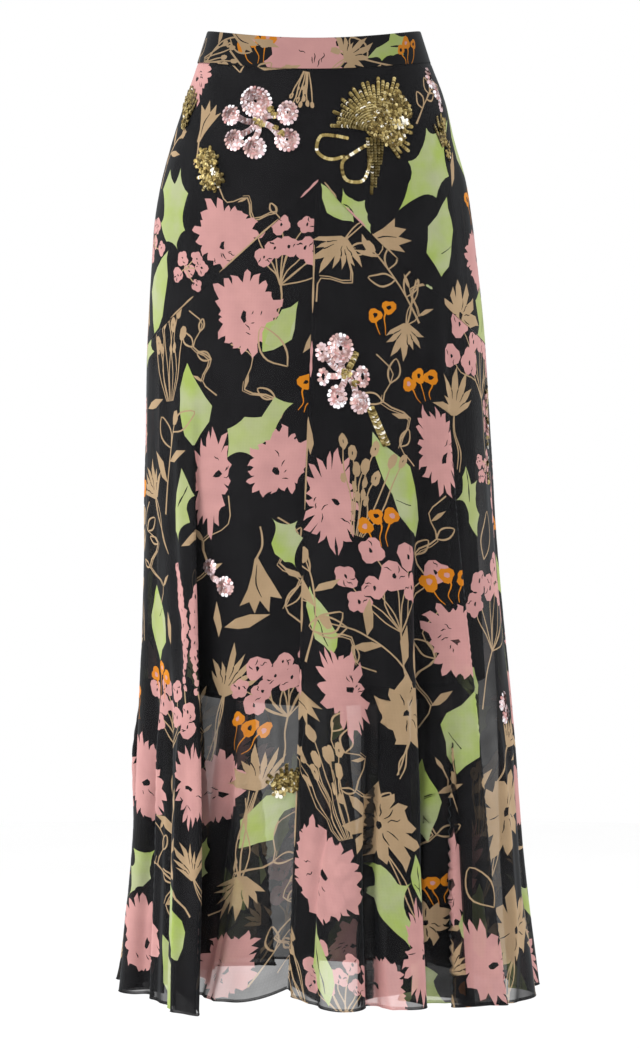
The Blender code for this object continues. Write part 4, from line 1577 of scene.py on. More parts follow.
def place_front_print():
    """The front's main motifs and clear places, sorted by the panel that each is on."""
    places = front_places()
    panels = ("yoke_front", "skirt_front_right", "skirt_front_left")
    placed = {name: [] for name in panels}
    clear = {name: [] for name in panels}
    for motif, size, across, below, turn, flip in FRONT_PRINT:
        name, knot, drop = front_spot(places, across, below)
        placed[name].append((motif, size, knot, drop, math.radians(turn), flip))
    for across, below, radius in CLEAR_GROUND:
        name, knot, drop = front_spot(places, across, below)
        clear[name].append((knot, drop, radius))
    return placed, clear


def skirt_pieces():
    """The yoke and the four skirt panels, and gives their charts."""
    placed, clear = place_front_print()
    right, front = RIGHT_SIDE_KNOT, CENTRE_FRONT_KNOT
    left, back = LEFT_SIDE_KNOT, CENTRE_BACK_KNOT
    again = RIGHT_SIDE_KNOT + KNOT_TURN
    hem = SKIRT_DROP / MM
    yoke_low = YOKE_DROP_AT_CENTRE / MM - 4
    side_low = YOKE_DROP_AT_SIDE / MM + 2
    below_yoke = (yoke_seam_v, level(hem))
    whole = (level(0.0), level(hem))
    panels = (
        ("yoke_front", right, left, 0.0, side_low, (level(0.0), yoke_seam_v), 11),
        ("skirt_front_right", right, front, yoke_low, hem, below_yoke, 12),
        ("skirt_front_left", front, left, yoke_low, hem, below_yoke, 13),
        ("skirt_back_left", left, back, 0.0, hem, whole, 14),
        ("skirt_back_right", back, again, 0.0, hem, whole, 15),
    )
    return {row[0]: skirt_cloth(*row, placed.get(row[0], ()), clear.get(row[0], ())) for row in panels}


# The waistband: faced inside, folded over at its top edge.

BAND_FOLD = 1.1
# The facing inside ends this far above the band's seam, and the fold takes a little more cloth.
FACING_SHORT = 2.0
# How much the band's motifs may overlap, as a share, and how many more fill the ground.
BAND_OVERLAP = 0.12
BACK_BAND_PLENTY = 1.4
FRONT_BAND_PLENTY = 0.25


def band_face(angle, v):
    """Points of the folded band: v is down the outside from its top, and down the inside below 0."""
    angle, v = np.broadcast_arrays(np.asarray(angle, float), np.asarray(v, float))
    height = BAND_HEIGHT / MM
    outer = band_point(angle, np.clip(np.abs(v) / height, 0.0, 1.2))
    flat_out = np.stack([np.sin(angle), -np.cos(angle), np.zeros_like(angle)], axis=-1)
    share = np.clip(v / BAND_FOLD, -1.0, 1.0)
    inward = BAND_FOLD * (1 - share) * MM
    round_top = BAND_FOLD * 0.6 * np.sqrt(np.clip(1 - share ** 2, 0.0, 1.0)) * MM
    place = outer - flat_out * inward[..., None]
    place[..., 2] += round_top - BAND_FOLD * 0.6 * MM
    return place


# The front band's motifs: which, its size, mm across from the middle, mm below the top edge, turn
# in degrees and whether it is mirrored.
BAND_PRINT = (
    (aster, 104, -8, 26, 0, False),
    (fan_flower, 46, 44, 18, -70, False),
    (orange_sprig, 44, -62, 12, 10, False),
    (sprig, 92, -96, 16, -66, True),
    (trumpet, 40, -78, 6, 60, False),
    (sprig, 70, -62, 30, -110, False),
    (seed_bundle, 60, -112, 26, -80, False),
    (split_leaf, 62, 86, 16, -78, False),
    (sprig, 78, 60, 26, 74, False),
    (orange_sprig, 34, 110, 20, 0, False),
)


def band_cloth(name, first, last, seed, placed=(), plenty=BACK_BAND_PLENTY):
    """One printed piece of the waistband, with rows of points where it folds over."""
    low = -(BAND_HEIGHT / MM - FACING_SHORT)
    high = BAND_HEIGHT / MM
    chart = Chart(band_face, first, last, low, high, (level(low), level(high)))
    drawing = Print(chart, seed)
    for motif, size, u, v, turn, flip in placed:
        drawing.lay(motif, size, u, v, math.radians(turn), flip)
    drawing.scatter(plenty, BAND_OVERLAP)
    lines = [chart.line_across(share * BAND_FOLD, 160)[1:-1] for share in (-0.8, -0.3, 0.3, 0.8)]
    flat, faces, inks = printed_triangles(chart, drawing.shapes, lines)
    points = chart.point_at(chart.lift(flat[:, 0], flat[:, 1]), flat[:, 1])
    piece = make_mesh(name + "_cloth", points, faces, BACKED, inks, flat)
    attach(piece, "skirt")
    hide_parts(name)


def seam_angle(knot):
    """The angle of a knot at the waist seam, in radians."""
    return float(fold_place(np.array([knot]), np.array([0.0]))[0][0])


def band_pieces():
    right = seam_angle(RIGHT_SIDE_KNOT)
    left = seam_angle(LEFT_SIDE_KNOT)
    back = seam_angle(CENTRE_BACK_KNOT)
    again = seam_angle(RIGHT_SIDE_KNOT + KNOT_TURN)
    band_cloth("waistband_front", right, left, 31, BAND_PRINT, FRONT_BAND_PLENTY)
    band_cloth("waistband_back_left", left, back, 32)
    band_cloth("waistband_back_right", back, again, 33)


# The lining: opaque, with a turned hem.

LINING_HEM = 14.0
LINING_HEM_THICK = 0.8
LINING_SLACK = 2.2
LINING_COLUMNS = 150
LINING_ROWS = 110
# The lining's mean half-width in mm, which turns an angle into a flat width for its weave.
LINING_REACH = 150


def lining_ripple(s, v):
    """The lining's own soft ripples, and how far it hangs back from the cloth, in mm."""
    ripple = 1.0 * np.sin(s * 23 + 2.0 * np.sin(v / 90)) * smoothstep(v / 350)
    ripple += 0.5 * np.sin(s * 41 + 1.3 * np.sin(v / 60 + 1)) * smoothstep(v / 200)
    return ripple - LINING_SLACK * smoothstep(v / 120)


def lining_cloth(name, first, last):
    """One rippled lining panel, with its hem turned up inside."""
    high = LINING_DROP / MM
    across = np.linspace(first, last, LINING_COLUMNS)
    s, v = np.meshgrid(across, np.linspace(0.0, high, LINING_ROWS), indexing="ij")
    normal = face_normal(lining_face, s, np.clip(v, 0.1, high))
    ridge = 0.35 * np.exp(-(((v - (high - LINING_HEM)) / 1.2) ** 2))
    outer = lining_face(s, v) + normal * ((lining_ripple(s, v) + ridge) * MM)[..., None]
    turned = slice(0, int(LINING_HEM / high * (LINING_ROWS - 1)) + 1)
    inner = outer[:, ::-1][:, turned] - normal[:, ::-1][:, turned] * LINING_HEM_THICK * MM
    grid = np.concatenate([outer, inner], axis=1)
    flat = np.stack([s * LINING_REACH, v], axis=-1)
    flat = np.concatenate([flat, flat[:, ::-1][:, turned]], axis=1).reshape(-1, 2)
    faces = grid_faces(np.arange(len(flat)).reshape(grid.shape[:2]).T)
    points = grid.reshape(-1, 3)
    piece = make_mesh(name + "_cloth", points, faces, [LINING_CLOTH], flat=flat)
    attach(piece, "skirt")
    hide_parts(name)


def lining_pieces():
    right = seam_angle(RIGHT_SIDE_KNOT)
    left = seam_angle(LEFT_SIDE_KNOT)
    again = seam_angle(RIGHT_SIDE_KNOT + KNOT_TURN)
    lining_cloth("lining_front", right, left)
    lining_cloth("lining_back", left, again)


# Sewing and the concealed zip.

STITCH_LENGTH = 1.7
STITCH_PITCH = 2.5
STITCH_RADIUS = 0.16
STITCH_PROUD = 0.12
STITCH_SUNK = 0.1
# A stitch has one corner at each end and two rings of three between them.
STITCH_CORNERS = 8
STITCH_RINGS = (-0.5, -0.28, 0.28, 0.5)


def stitch_run(points, normals):
    """The corners of the stitches along a line that has outward normals."""
    along = run_length(points) / MM
    places = np.arange(STITCH_PITCH, along[-1] - STITCH_PITCH, STITCH_PITCH)
    first, near, far, last = (
        read_along(places + share * STITCH_LENGTH, along, points) for share in STITCH_RINGS
    )
    out = read_along(places, along, normals)
    side = np.cross(unit(last - first), out)
    corners = [first - out * STITCH_SUNK * MM]
    for ring in (near, far):
        for turn in (0.0, TAU / 3, 2 * TAU / 3):
            rise = math.cos(turn) * STITCH_RADIUS + STITCH_PROUD
            corners.append(ring + (out * rise + side * math.sin(turn) * STITCH_RADIUS) * MM)
    corners.append(last - out * STITCH_SUNK * MM)
    return np.stack(corners, axis=1).reshape(-1, 3)


def stitches_round(v, count):
    """A line round the whole skirt at v, with its normals."""
    s = np.linspace(RIGHT_SIDE_KNOT, RIGHT_SIDE_KNOT + KNOT_TURN, count)
    return skirt_face(s, np.full_like(s, v)), face_normal(skirt_face, s, np.full_like(s, v))


def lining_stitches():
    """The line of the stitches that hold the lining's turned hem, with its normals."""
    s = np.linspace(seam_angle(RIGHT_SIDE_KNOT), seam_angle(RIGHT_SIDE_KNOT + KNOT_TURN), 900)
    v = np.full_like(s, LINING_DROP / MM - LINING_HEM + 1.0)
    normal = face_normal(lining_face, s, v)
    return lining_face(s, v) + normal * ((lining_ripple(s, v) + 0.2) * MM)[:, None], normal


def sewing():
    """The stitches above the rolled hem, on the lining's hem and under the band, in one piece."""
    above_hem = stitches_round(SKIRT_DROP / MM - HEM_TURN + 0.5, 1800)
    under_band = stitches_round(1.2, 900)
    lines = (above_hem, lining_stitches(), under_band)
    vertices = np.concatenate([stitch_run(*line) for line in lines])
    solid = [(0, 1, 2), (0, 2, 3), (0, 3, 1), (7, 5, 4), (7, 6, 5), (7, 4, 6), *prism_sides(3, 1)]
    faces = repeated(solid, len(vertices) // STITCH_CORNERS, STITCH_CORNERS)
    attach(make_mesh("stitches", vertices, faces, [THREAD]), "skirt")


ZIP_LENGTH = 190.0
ZIP_TAPE = 10.0
# Across a tape, and round one of the coil's loops: how far from the seam and how far behind it.
TAPE_PROFILE = ((0.4, 1.0), (1.4, 0.9), (ZIP_TAPE, 1.0))
COIL_LOOP = ((-0.5, 1.5), (0.9, 1.15), (1.3, 1.75), (0.3, 1.9))
COIL_PITCH = 1.15
COIL_HALF_THICK = 0.32


def behind_back_seam(v, profile, side):
    """Lines behind the centre back seam at drops v, one for each place of a profile."""
    s = np.full_like(v, CENTRE_BACK_KNOT)
    seam = skirt_face(s, v)
    out = face_normal(skirt_face, s, v)
    across = np.array([side * MM, 0.0, 0.0])
    return [seam + across * reach - out * deep * MM for reach, deep in profile]


def zip_tape():
    """The two tapes of the concealed zip."""
    v = np.linspace(3.0, ZIP_LENGTH, 60)
    lines = np.array([behind_back_seam(v, TAPE_PROFILE, side) for side in (-1, 1)])
    place = np.arange(lines[..., 0].size).reshape(lines.shape[:3])
    faces = np.concatenate([grid_faces(tape.T) for tape in place])
    tape = make_mesh("zip_tape", lines.reshape(-1, 3), faces, [TAPE])
    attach(tape, "skirt")


def zip_coil():
    """The concealed zip's two rows of small loops, half a pitch apart."""
    v = np.arange(4.0, ZIP_LENGTH, COIL_PITCH)
    thick = np.array([0.0, 0.0, COIL_HALF_THICK * MM])
    loops = []
    for side in (-1, 1):
        down = np.array([0.0, 0.0, -0.5 * COIL_PITCH * MM * (side > 0)])
        ends = [line + down for line in behind_back_seam(v, COIL_LOOP, side)]
        loops.append(np.stack([end + thick * sign for sign in (-1, 1) for end in ends], axis=1))
    block = np.concatenate(loops)
    solid = [(0, 1, 2), (0, 2, 3), (4, 6, 5), (4, 7, 6), *prism_sides(4)]
    coil = make_mesh("zip_coil", block.reshape(-1, 3), repeated(solid, len(block), 8), [COIL])
    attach(coil, "skirt")


# Materials.

# Two linear colours for each ink, between which the dye is cloudy.
INK_COLOURS = {
    "black": ((0.0056, 0.0054, 0.0062), (0.0088, 0.0086, 0.0096)),
    "pink": ((0.600, 0.310, 0.292), (0.535, 0.274, 0.263)),
    "green": ((0.345, 0.440, 0.108), (0.405, 0.445, 0.245)),
    "pale_green": ((0.405, 0.445, 0.222), (0.365, 0.428, 0.148)),
    "tan": ((0.440, 0.308, 0.182), (0.385, 0.266, 0.152)),
    "orange": ((0.640, 0.225, 0.011), (0.585, 0.190, 0.009)),
}
# The share of light that one layer of the sheer cloth stops, seen square on.
SHEER_COVERAGE = 0.67
# The band is backed, so it has less light through it and looks this much darker.
BAND_TONE = 0.60
THREADS_PER_METRE = 1900.0
LINING_THREADS_PER_METRE = 1500.0
# The slant, as the cosine between the cloth and the view, past which the cloth stops no more.
STEEPEST = 0.24


def set_sockets(node, values):
    for socket, value in values.items():
        node.inputs[socket].default_value = value


def add_node(tree, kind, links=(), sockets=(), **properties):
    """A node with its properties, the sources that it is linked from, and its sockets' values."""
    made = tree.nodes.new(kind)
    for key, value in properties.items():
        setattr(made, key, value)
    for socket, source in dict(links).items():
        tree.links.new(source, made.inputs[socket])
    set_sockets(made, dict(sockets))
    return made


def new_material(name):
    made = bpy.data.materials.new(name)
    made.use_nodes = True
    tree = made.node_tree
    return made, tree, tree.nodes["Principled BSDF"]


def math_node(tree, operation, *parts):
    numbers = {i: part for i, part in enumerate(parts) if isinstance(part, (int, float))}
    sources = {i: part for i, part in enumerate(parts) if i not in numbers}
    return add_node(tree, "ShaderNodeMath", sources, numbers, operation=operation).outputs[0]


def weave(tree, flat, threads):
    """Fine crossing threads, from 0 in the holes to 1 on the threads."""
    look = {"Scale": threads / 20.0, "Distortion": 1.2, "Detail": 1.0, "Detail Scale": 0.4}
    lines = [
        add_node(tree, "ShaderNodeTexWave", {"Vector": flat}, look, wave_type="BANDS",
                 bands_direction=direction).outputs["Fac"]
        for direction in ("X", "Y")
    ]
    return math_node(tree, "MAXIMUM", *lines)


def noise(tree, place, scale, detail):
    look = {"Scale": scale, "Detail": detail}
    return add_node(tree, "ShaderNodeTexNoise", {"Vector": place}, look).outputs["Fac"]


def between(tree, value, low, high, out_low=0.0, out_high=1.0):
    """A value stretched from one range to another."""
    ends = {"From Min": low, "From Max": high, "To Min": out_low, "To Max": out_high}
    return add_node(tree, "ShaderNodeMapRange", {"Value": value}, ends).outputs["Result"]


def colour_from(tree, shader, factor, first, second):
    """Give a shader a colour that changes between two with a factor."""
    mix = add_node(tree, "ShaderNodeMix", {"Factor": factor}, {6: (*first, 1.0), 7: (*second, 1.0)},
                   data_type="RGBA")
    tree.links.new(mix.outputs[2], shader.inputs["Base Color"])


def relief_from(tree, shader, height, strength, distance):
    """Give a shader a fine relief."""
    look = {"Strength": strength, "Distance": distance}
    bump = add_node(tree, "ShaderNodeBump", {"Height": height}, look)
    tree.links.new(bump.outputs["Normal"], shader.inputs["Normal"])


def see_through(tree, shader, flat, coverage):
    """Let light through between the threads, and less of it where the cloth is seen at a slant."""
    patchy = between(tree, noise(tree, flat, 55.0, 2.0), 0.3, 0.7, 0.97 - coverage, 1.03 - coverage)
    facing = tree.nodes.new("ShaderNodeLayerWeight").outputs["Facing"]
    cosine = math_node(tree, "MAXIMUM", math_node(tree, "SUBTRACT", 1.0, facing), STEEPEST)
    through = math_node(tree, "POWER", patchy, math_node(tree, "DIVIDE", 1.0, cosine))
    threads = between(tree, weave(tree, flat, THREADS_PER_METRE), 0.0, 1.0, 1.04, 0.96)
    holes = math_node(tree, "MULTIPLY", through, threads)
    tree.links.new(math_node(tree, "SUBTRACT", 1.0, holes), shader.inputs["Alpha"])


def cloth_material(name, colours, coverage):
    """Printed crepe chiffon: cloudy dye, fine threads, a soft crinkle and a faint sheen."""
    made, tree, shader = new_material(name)
    flat = add_node(tree, "ShaderNodeUVMap", uv_map="cloth").outputs["UV"]
    colour_from(tree, shader, between(tree, noise(tree, flat, 26.0, 3.0), 0.35, 0.65), *colours)
    relief_from(tree, shader, noise(tree, flat, 420.0, 2.0), 0.18, 0.0003)
    if coverage < 1.0:
        see_through(tree, shader, flat, coverage)
    set_sockets(shader, {
        "Roughness": 0.72,
        "Specular IOR Level": 0.10,
        "Sheen Weight": 0.08,
        "Sheen Roughness": 0.35,
        "Sheen Tint": (0.82, 0.92, 1.0, 1.0),
    })
    return made


def lining_material():
    """Smooth black lining satin."""
    made, tree, shader = new_material("lining_satin")
    flat = add_node(tree, "ShaderNodeUVMap", uv_map="cloth").outputs["UV"]
    cloudy = between(tree, noise(tree, flat, 14.0, 2.0), 0.3, 0.7)
    colour_from(tree, shader, cloudy, (0.0060, 0.0060, 0.0070), (0.0095, 0.0095, 0.0110))
    relief_from(tree, shader, weave(tree, flat, LINING_THREADS_PER_METRE), 0.15, 0.0002)
    set_sockets(shader, {"Roughness": 0.55, "Specular IOR Level": 0.14})
    return made


def plain_material(name, first, second, roughness, scale, metallic=0.0):
    """A finish that is slightly uneven in tone and relief."""
    made, tree, shader = new_material(name)
    place = tree.nodes.new("ShaderNodeTexCoord").outputs["Object"]
    uneven = noise(tree, place, scale, 3.0)
    colour_from(tree, shader, between(tree, uneven, 0.3, 0.7), first, second)
    relief_from(tree, shader, uneven, 0.15, 0.0001)
    set_sockets(shader, {"Roughness": roughness, "Metallic": metallic})
    return made


def darker(colour, share):
    """A colour with a share of its light."""
    return tuple(part * share for part in colour)


SHEER = [cloth_material("chiffon_" + ink, INK_COLOURS[ink], SHEER_COVERAGE) for ink in INKS]
BACKED = [
    cloth_material("band_" + ink, [darker(tone, BAND_TONE) for tone in INK_COLOURS[ink]], 1.0)
    for ink in INKS
]
LINING_CLOTH = lining_material()
THREAD = plain_material("thread", (0.010, 0.010, 0.011), (0.020, 0.020, 0.022), 0.6, 900.0)
TAPE = plain_material("zip_tape_weave", (0.009, 0.009, 0.010), (0.016, 0.016, 0.018), 0.8, 1400.0)
COIL = plain_material("zip_nylon", (0.012, 0.012, 0.013), (0.022, 0.022, 0.024), 0.4, 700.0)
ZIP_METAL = plain_material(
    "lacquered_metal", (0.030, 0.030, 0.032), (0.055, 0.054, 0.056), 0.32, 600.0, metallic=0.9)


# Sequins, sewn on in sprays.

SEQUIN_RADIUS = 2.0
SEQUIN_SIDES = 8
SEQUIN_PITCH = 1.4
# A sequin's hollow, as a share of its radius, and how high the first ones lie over the cloth.
SEQUIN_HOLLOW = 0.16
SEQUIN_HEIGHT = 0.8
# Five linear colours for each sequin: middling, dark, pale, glinting and warm. Middling and warm are
# the discs' own colours; dark is painted shade and dark reflections, pale is a painted reflection
# of bright surroundings, and glinting is a painted glint.
SEQUIN_TONES = {
    "rose_sequin": (
        (0.600, 0.400, 0.370), (0.420, 0.250, 0.235), (0.780, 0.600, 0.615), (0.970, 0.930, 0.960),
        (0.640, 0.320, 0.305),
    ),
    "gold_sequin": (
        (0.330, 0.245, 0.085), (0.130, 0.088, 0.026), (0.580, 0.470, 0.215), (0.980, 0.930, 0.800),
        (0.420, 0.320, 0.115),
    ),
}
# The glinting tone's place among the five: a painted glint.
GLINT = 3
# How many of each tone are mixed, as shares: plain places, and places given painted highlights
# (rims, lit sides, glints) or painted shade (shaded heaps, the gaps between ribs).
PLAIN_SHARES = (0.34, 0.26, 0.16, 0.04, 0.20)
# The rim row of a head: a painted highlight.
RIM_HIGHLIGHT_SHARES = (0.22, 0.06, 0.42, 0.24, 0.06)
# The side of a head that faces the light: a painted highlight.
LIT_SHARES = (0.30, 0.12, 0.38, 0.16, 0.04)
# Patches of painted glint.
GLINT_SHARES = (0.06, 0.0, 0.30, 0.64, 0.0)
# Mostly the dark tone: painted shade.
SHADE_SHARES = (0.26, 0.46, 0.16, 0.03, 0.09)
GOLD_ROPE_SHARES = (0.26, 0.0, 0.56, 0.06, 0.12)
# Every other disc of a ribbed rope: painted shade in the gaps between ribs.
RIB_SHADE_SHARES = (0.60, 0.40, 0.0, 0.0, 0.0)
STEM_SHARES = (0.34, 0.28, 0.16, 0.14, 0.08)
LOOP_SHARES = (0.36, 0.16, 0.28, 0.10, 0.10)
# Mostly the dark tone: painted shade at the flower's heart.
HEART_SHARES = (0.20, 0.56, 0.14, 0.02, 0.08)


def sequin_material(name, colour, glint):
    """A small lacquered metallic disc, a little uneven in tone; the glinting one is a painted glint."""
    made, tree, shader = new_material(name)
    place = tree.nodes.new("ShaderNodeTexCoord").outputs["Object"]
    uneven = between(tree, noise(tree, place, 260.0, 1.0), 0.3, 0.7)
    colour_from(tree, shader, uneven, darker(colour, 0.78), colour)
    set_sockets(shader, {"Metallic": 0.15 if glint else 0.8, "Roughness": 0.3 if glint else 0.4})
    return made


class Front:
    """The front of the skirt laid flat in one piece, to place the sprays on."""

    def __init__(self, charts):
        hem = SKIRT_DROP / MM
        self.charts = charts
        self.whole = Chart(skirt_face, RIGHT_SIDE_KNOT, LEFT_SIDE_KNOT, 0.0, hem, (level(0.0), level(hem)))
        self.knots, self.drops, self.points = front_places()
        self.seen_x, self.seen_y = in_picture(self.points)

    def anchor(self, px, py):
        """The flat place on the whole front that is seen at a place in the picture, in pixels."""
        miss = np.hypot(self.seen_x - px, self.seen_y - py)
        best = np.argmin(miss + NEARER_FIRST * self.points[:, 1])
        v = float(self.drops[best])
        return self.whole.lay_one(self.knots[best], v), v

    def raise_from(self, u, v, height):
        """Points and normals of the cloth's outer face at flat places on the whole front."""
        knot = self.whole.lift(u, v)
        points = np.empty((len(u), 3))
        normals = np.empty((len(u), 3))
        on_yoke = v < yoke_seam_v(knot)
        right = knot < CENTRE_FRONT_KNOT
        parts = (
            ("yoke_front", on_yoke),
            ("skirt_front_right", ~on_yoke & right),
            ("skirt_front_left", ~on_yoke & ~right),
        )
        for name, here in parts:
            if here.any():
                chart = self.charts[name]
                local = chart.lay(knot[here], v[here])
                points[here], normals[here] = cloth_place(chart, name, local, v[here], height[here])
        return points, normals


class Spray:
    """Sequins gathered for one piece, each placed in mm from the spot that is being worked on."""

    def __init__(self, front, seed):
        self.front = front
        self.rng = random.Random(seed)
        self.rows = []
        self.spot = (0.0, 0.0)

    def go_to(self, pixels):
        self.spot = self.front.anchor(*pixels)

    def add(self, u, v, facing, tilt, radius, height, shares):
        tone = self.rng.choices(range(len(shares)), shares)[0]
        self.rows.append((self.spot[0] + u, self.spot[1] + v, facing, tilt, radius, height, tone))

    def line(self, points, spacing, tilt, radius, shares, ribs):
        """A rope of sequins that overlap along a line, every other one darker if it has ribs: painted shade
        between the ribs.
        """
        along = run_length(points)
        for i, place in enumerate(np.arange(spacing / 2, along[-1], spacing)):
            behind, (u, v), ahead = read_along(place + np.array([-0.5, 0.0, 0.5]), along, points)
            facing = math.atan2(ahead[1] - behind[1], ahead[0] - behind[0]) + self.rng.gauss(0, 0.12)
            tones = RIB_SHADE_SHARES if ribs and i % 2 else shares
            self.add(u, v, facing, tilt + self.rng.gauss(0, 0.08), radius, SEQUIN_HEIGHT, tones)

    def rope(self, points, rows=1, gap=2.7, spacing=SEQUIN_PITCH, tilt=0.4, radius=SEQUIN_RADIUS,
             shares=PLAIN_SHARES, ribs=False):
        """Side by side ropes of overlapping sequins."""
        line = smoothed(points, 6)
        side = beside(line)
        for k in range(rows):
            self.line(line + side * gap * (k - (rows - 1) / 2), spacing, tilt, radius, shares, ribs)

    def head(self, u, v, wide, tall):
        """A flower head of radial rows that overlap outwards, with a hole at its middle; painted highlights
        on its rim and lit side.
        """
        outer = wide / 2 - SEQUIN_RADIUS * 0.7
        stretch = tall / wide
        hole = max(1.9, outer * 0.2)
        rows = max(9, int(round(TAU * outer * (1 + stretch) / 2 / (SEQUIN_RADIUS * 2.1))))
        start = self.rng.uniform(0, TAU)
        # The turn of the side that gets paler tones, a painted highlight.
        lit = self.rng.uniform(0, TAU)
        for i in range(rows):
            turn = start + TAU * (i + self.rng.gauss(0, 0.05)) / rows
            on_lit_side = math.cos(turn - lit) > 0.3
            for j, reach in enumerate(np.arange(outer, hole, -SEQUIN_PITCH)):
                if i % 2 and reach < outer * 0.5:
                    continue
                shares = RIM_HIGHLIGHT_SHARES if j == 0 else LIT_SHARES if on_lit_side else PLAIN_SHARES
                rise = 0.7 + 0.7 * (1 - reach / outer) + 0.12 * (i % 2)
                self.add(u + reach * math.cos(turn), v + reach * math.sin(turn) * stretch,
                         turn + math.pi + self.rng.gauss(0, 0.15), 0.32 + self.rng.gauss(0, 0.1),
                         SEQUIN_RADIUS * self.rng.uniform(0.92, 1.06), rise, shares)

    def heap(self, u, v, wide, tall, spacing=2.0, shares=PLAIN_SHARES, most_tilt=0.7, over=0.0):
        """A jumbled patch of sequins that lie every way, or on top of what is there."""
        for _ in range(int(wide * tall * 0.78 / spacing ** 2)):
            turn = self.rng.uniform(0, TAU)
            reach = math.sqrt(self.rng.random())
            self.add(u + reach * wide / 2 * math.cos(turn), v + reach * tall / 2 * math.sin(turn),
                     self.rng.uniform(0, TAU), self.rng.uniform(0.05, most_tilt),
                     SEQUIN_RADIUS * self.rng.uniform(0.85, 1.05), over + self.rng.uniform(0.7, 2.4),
                     shares)

    def petals(self, u, v, turns, reaches, root=8.0, lean=0.0, **how):
        """Ropes that spread from a place: their turns in degrees and how far each reaches."""
        for turn, reach in zip(np.radians(turns), reaches):
            near, far = around(root, turn, u, v), around(reach, turn, u, v)
            bow = around(lean * reach, turn + TAU / 4)
            self.rope([near, (near + far) / 2 + bow, far], **how)

    def flower_heads(self, heads, joint):
        """Pink flower heads on short ropes that meet at a joint."""
        for u, v, wide, tall in heads:
            start = np.array([u, v], float)
            run = np.array(joint) - start
            length = np.linalg.norm(run)
            if length > wide * 0.55:
                start += run / length * wide * 0.4
                bow = np.array([-run[1], run[0]]) * 0.08
                # The stalks take the lit mix of tones, with painted highlights.
                self.rope([start, (start + joint) / 2 + bow, joint], rows=2, shares=LIT_SHARES)
            self.head(u, v, wide, tall)

    def build(self, name, materials):
        """One mesh of all the sequins, each a shallow cone that turns its open side out."""
        u, v, facing, tilt, radius, height, tone = np.array(self.rows).T
        points, normals = self.front.raise_from(u, v, height)
        ahead, _ = self.front.raise_from(u + 0.5 * np.cos(facing), v + 0.5 * np.sin(facing), height)
        forward = ahead - points
        forward = unit(forward - normals * np.sum(forward * normals, axis=1, keepdims=True))
        side = np.cross(normals, forward)
        cosine, sine = np.cos(tilt)[:, None], np.sin(tilt)[:, None]
        lifted = forward * cosine + normals * sine
        facing_out = normals * cosine - forward * sine
        turns = (np.arange(SEQUIN_SIDES) * TAU / SEQUIN_SIDES)[None, :, None]
        ring = np.cos(turns) * lifted[:, None] + np.sin(turns) * side[:, None]
        rim = points[:, None] + (radius * MM)[:, None, None] * ring
        middle = points - facing_out * (SEQUIN_HOLLOW * radius * MM)[:, None]
        vertices = np.concatenate([rim, middle[:, None]], axis=1).reshape(-1, 3)
        fan = [(k, (k + 1) % SEQUIN_SIDES, SEQUIN_SIDES) for k in range(SEQUIN_SIDES)]
        faces = repeated(fan, len(points), SEQUIN_SIDES + 1)
        slots = np.repeat(tone.astype(int), SEQUIN_SIDES)
        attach(make_mesh(name, vertices, faces, materials, slots), "skirt")


# Where the sprays are seen in the picture, in pixels.
HIP_FLOWER = (257, 122)
MIDDLE_FLOWER = (345, 376)
LOW_FLOWER = (214, 576)
HEM_FLOWER = (505, 706)
SIDE_FLOWER = (432, 84)
CHRYSANTHEMUM = (372, 131)
ROSETTE = (211, 168)
RIGHT_TUFT = (189, 112)
LEFT_TUFT = (443, 136)
HEM_TUFT = (287, 790)
SIDE_DOTS = (487, 440)

# The pink flowers: where, the heads as mm across, down, wide and tall, and where their ropes meet.
PINK_FLOWERS = (
    (HIP_FLOWER, ((-31, -5, 21, 22), (-25, 21, 22, 23), (-2, 28, 25, 24), (32, 19, 26, 25),
                  (31, -10, 22, 27), (-3, -21, 35, 33)), (0, 0)),
    (MIDDLE_FLOWER, ((-22, -25, 13, 22), (-22, 1, 12, 21), (18, 1, 15, 25), (-9, 22, 20, 25),
                     (14, 28, 21, 25), (-3, -29, 27, 33)), (0, -3)),
    (LOW_FLOWER, ((-7, -10, 17, 17), (14, 9, 21, 21)), (-1, 2)),
    (HEM_FLOWER, ((-6, -6, 17, 20), (5, 9, 17, 17)), (0, 0)),
    (SIDE_FLOWER, ((-5, -6, 14, 24), (5, 8, 13, 20), (11, 24, 9, 14)), (2, 2)),
)
# The chrysanthemum's outlined leaves and its stem's ropes, in mm from its middle.
GOLD_LOOPS = (
    ((-25, 8), (-38, 5), (-53, 5), (-57, 19), (-51, 27), (-41, 30), (-28, 27)),
    ((-6, 16), (-18, 23), (-30, 32), (-31, 43), (-26, 53), (-11, 54), (-4, 42), (-1, 28)),
)
GOLD_STEMS = ((-1, -1, 68), (3, 3, 60), (7, 6, 48), (11, 9, 36), (-5, -4, 44))


def gold_in_pink(gold):
    """The gold hearts and stalks of the two large pink flowers."""
    gold.go_to(HIP_FLOWER)
    for u, v in ((14, -13), (17, -8), (20, 6), (-1, 0), (26, 13), (5, 3)):
        gold.heap(u, v, 6, 6, 1.6)
    gold.go_to(MIDDLE_FLOWER)
    gold.rope([(1, -2), (7, -12), (13, -24)], rows=2, gap=2.4)
    gold.heap(1, -2, 10, 9, 1.6)
    gold.heap(10, 8, 7, 6, 1.6)
    gold.rope([(24, 34), (30, 52), (38, 74)], rows=3, gap=2.3, tilt=0.25, shares=STEM_SHARES)


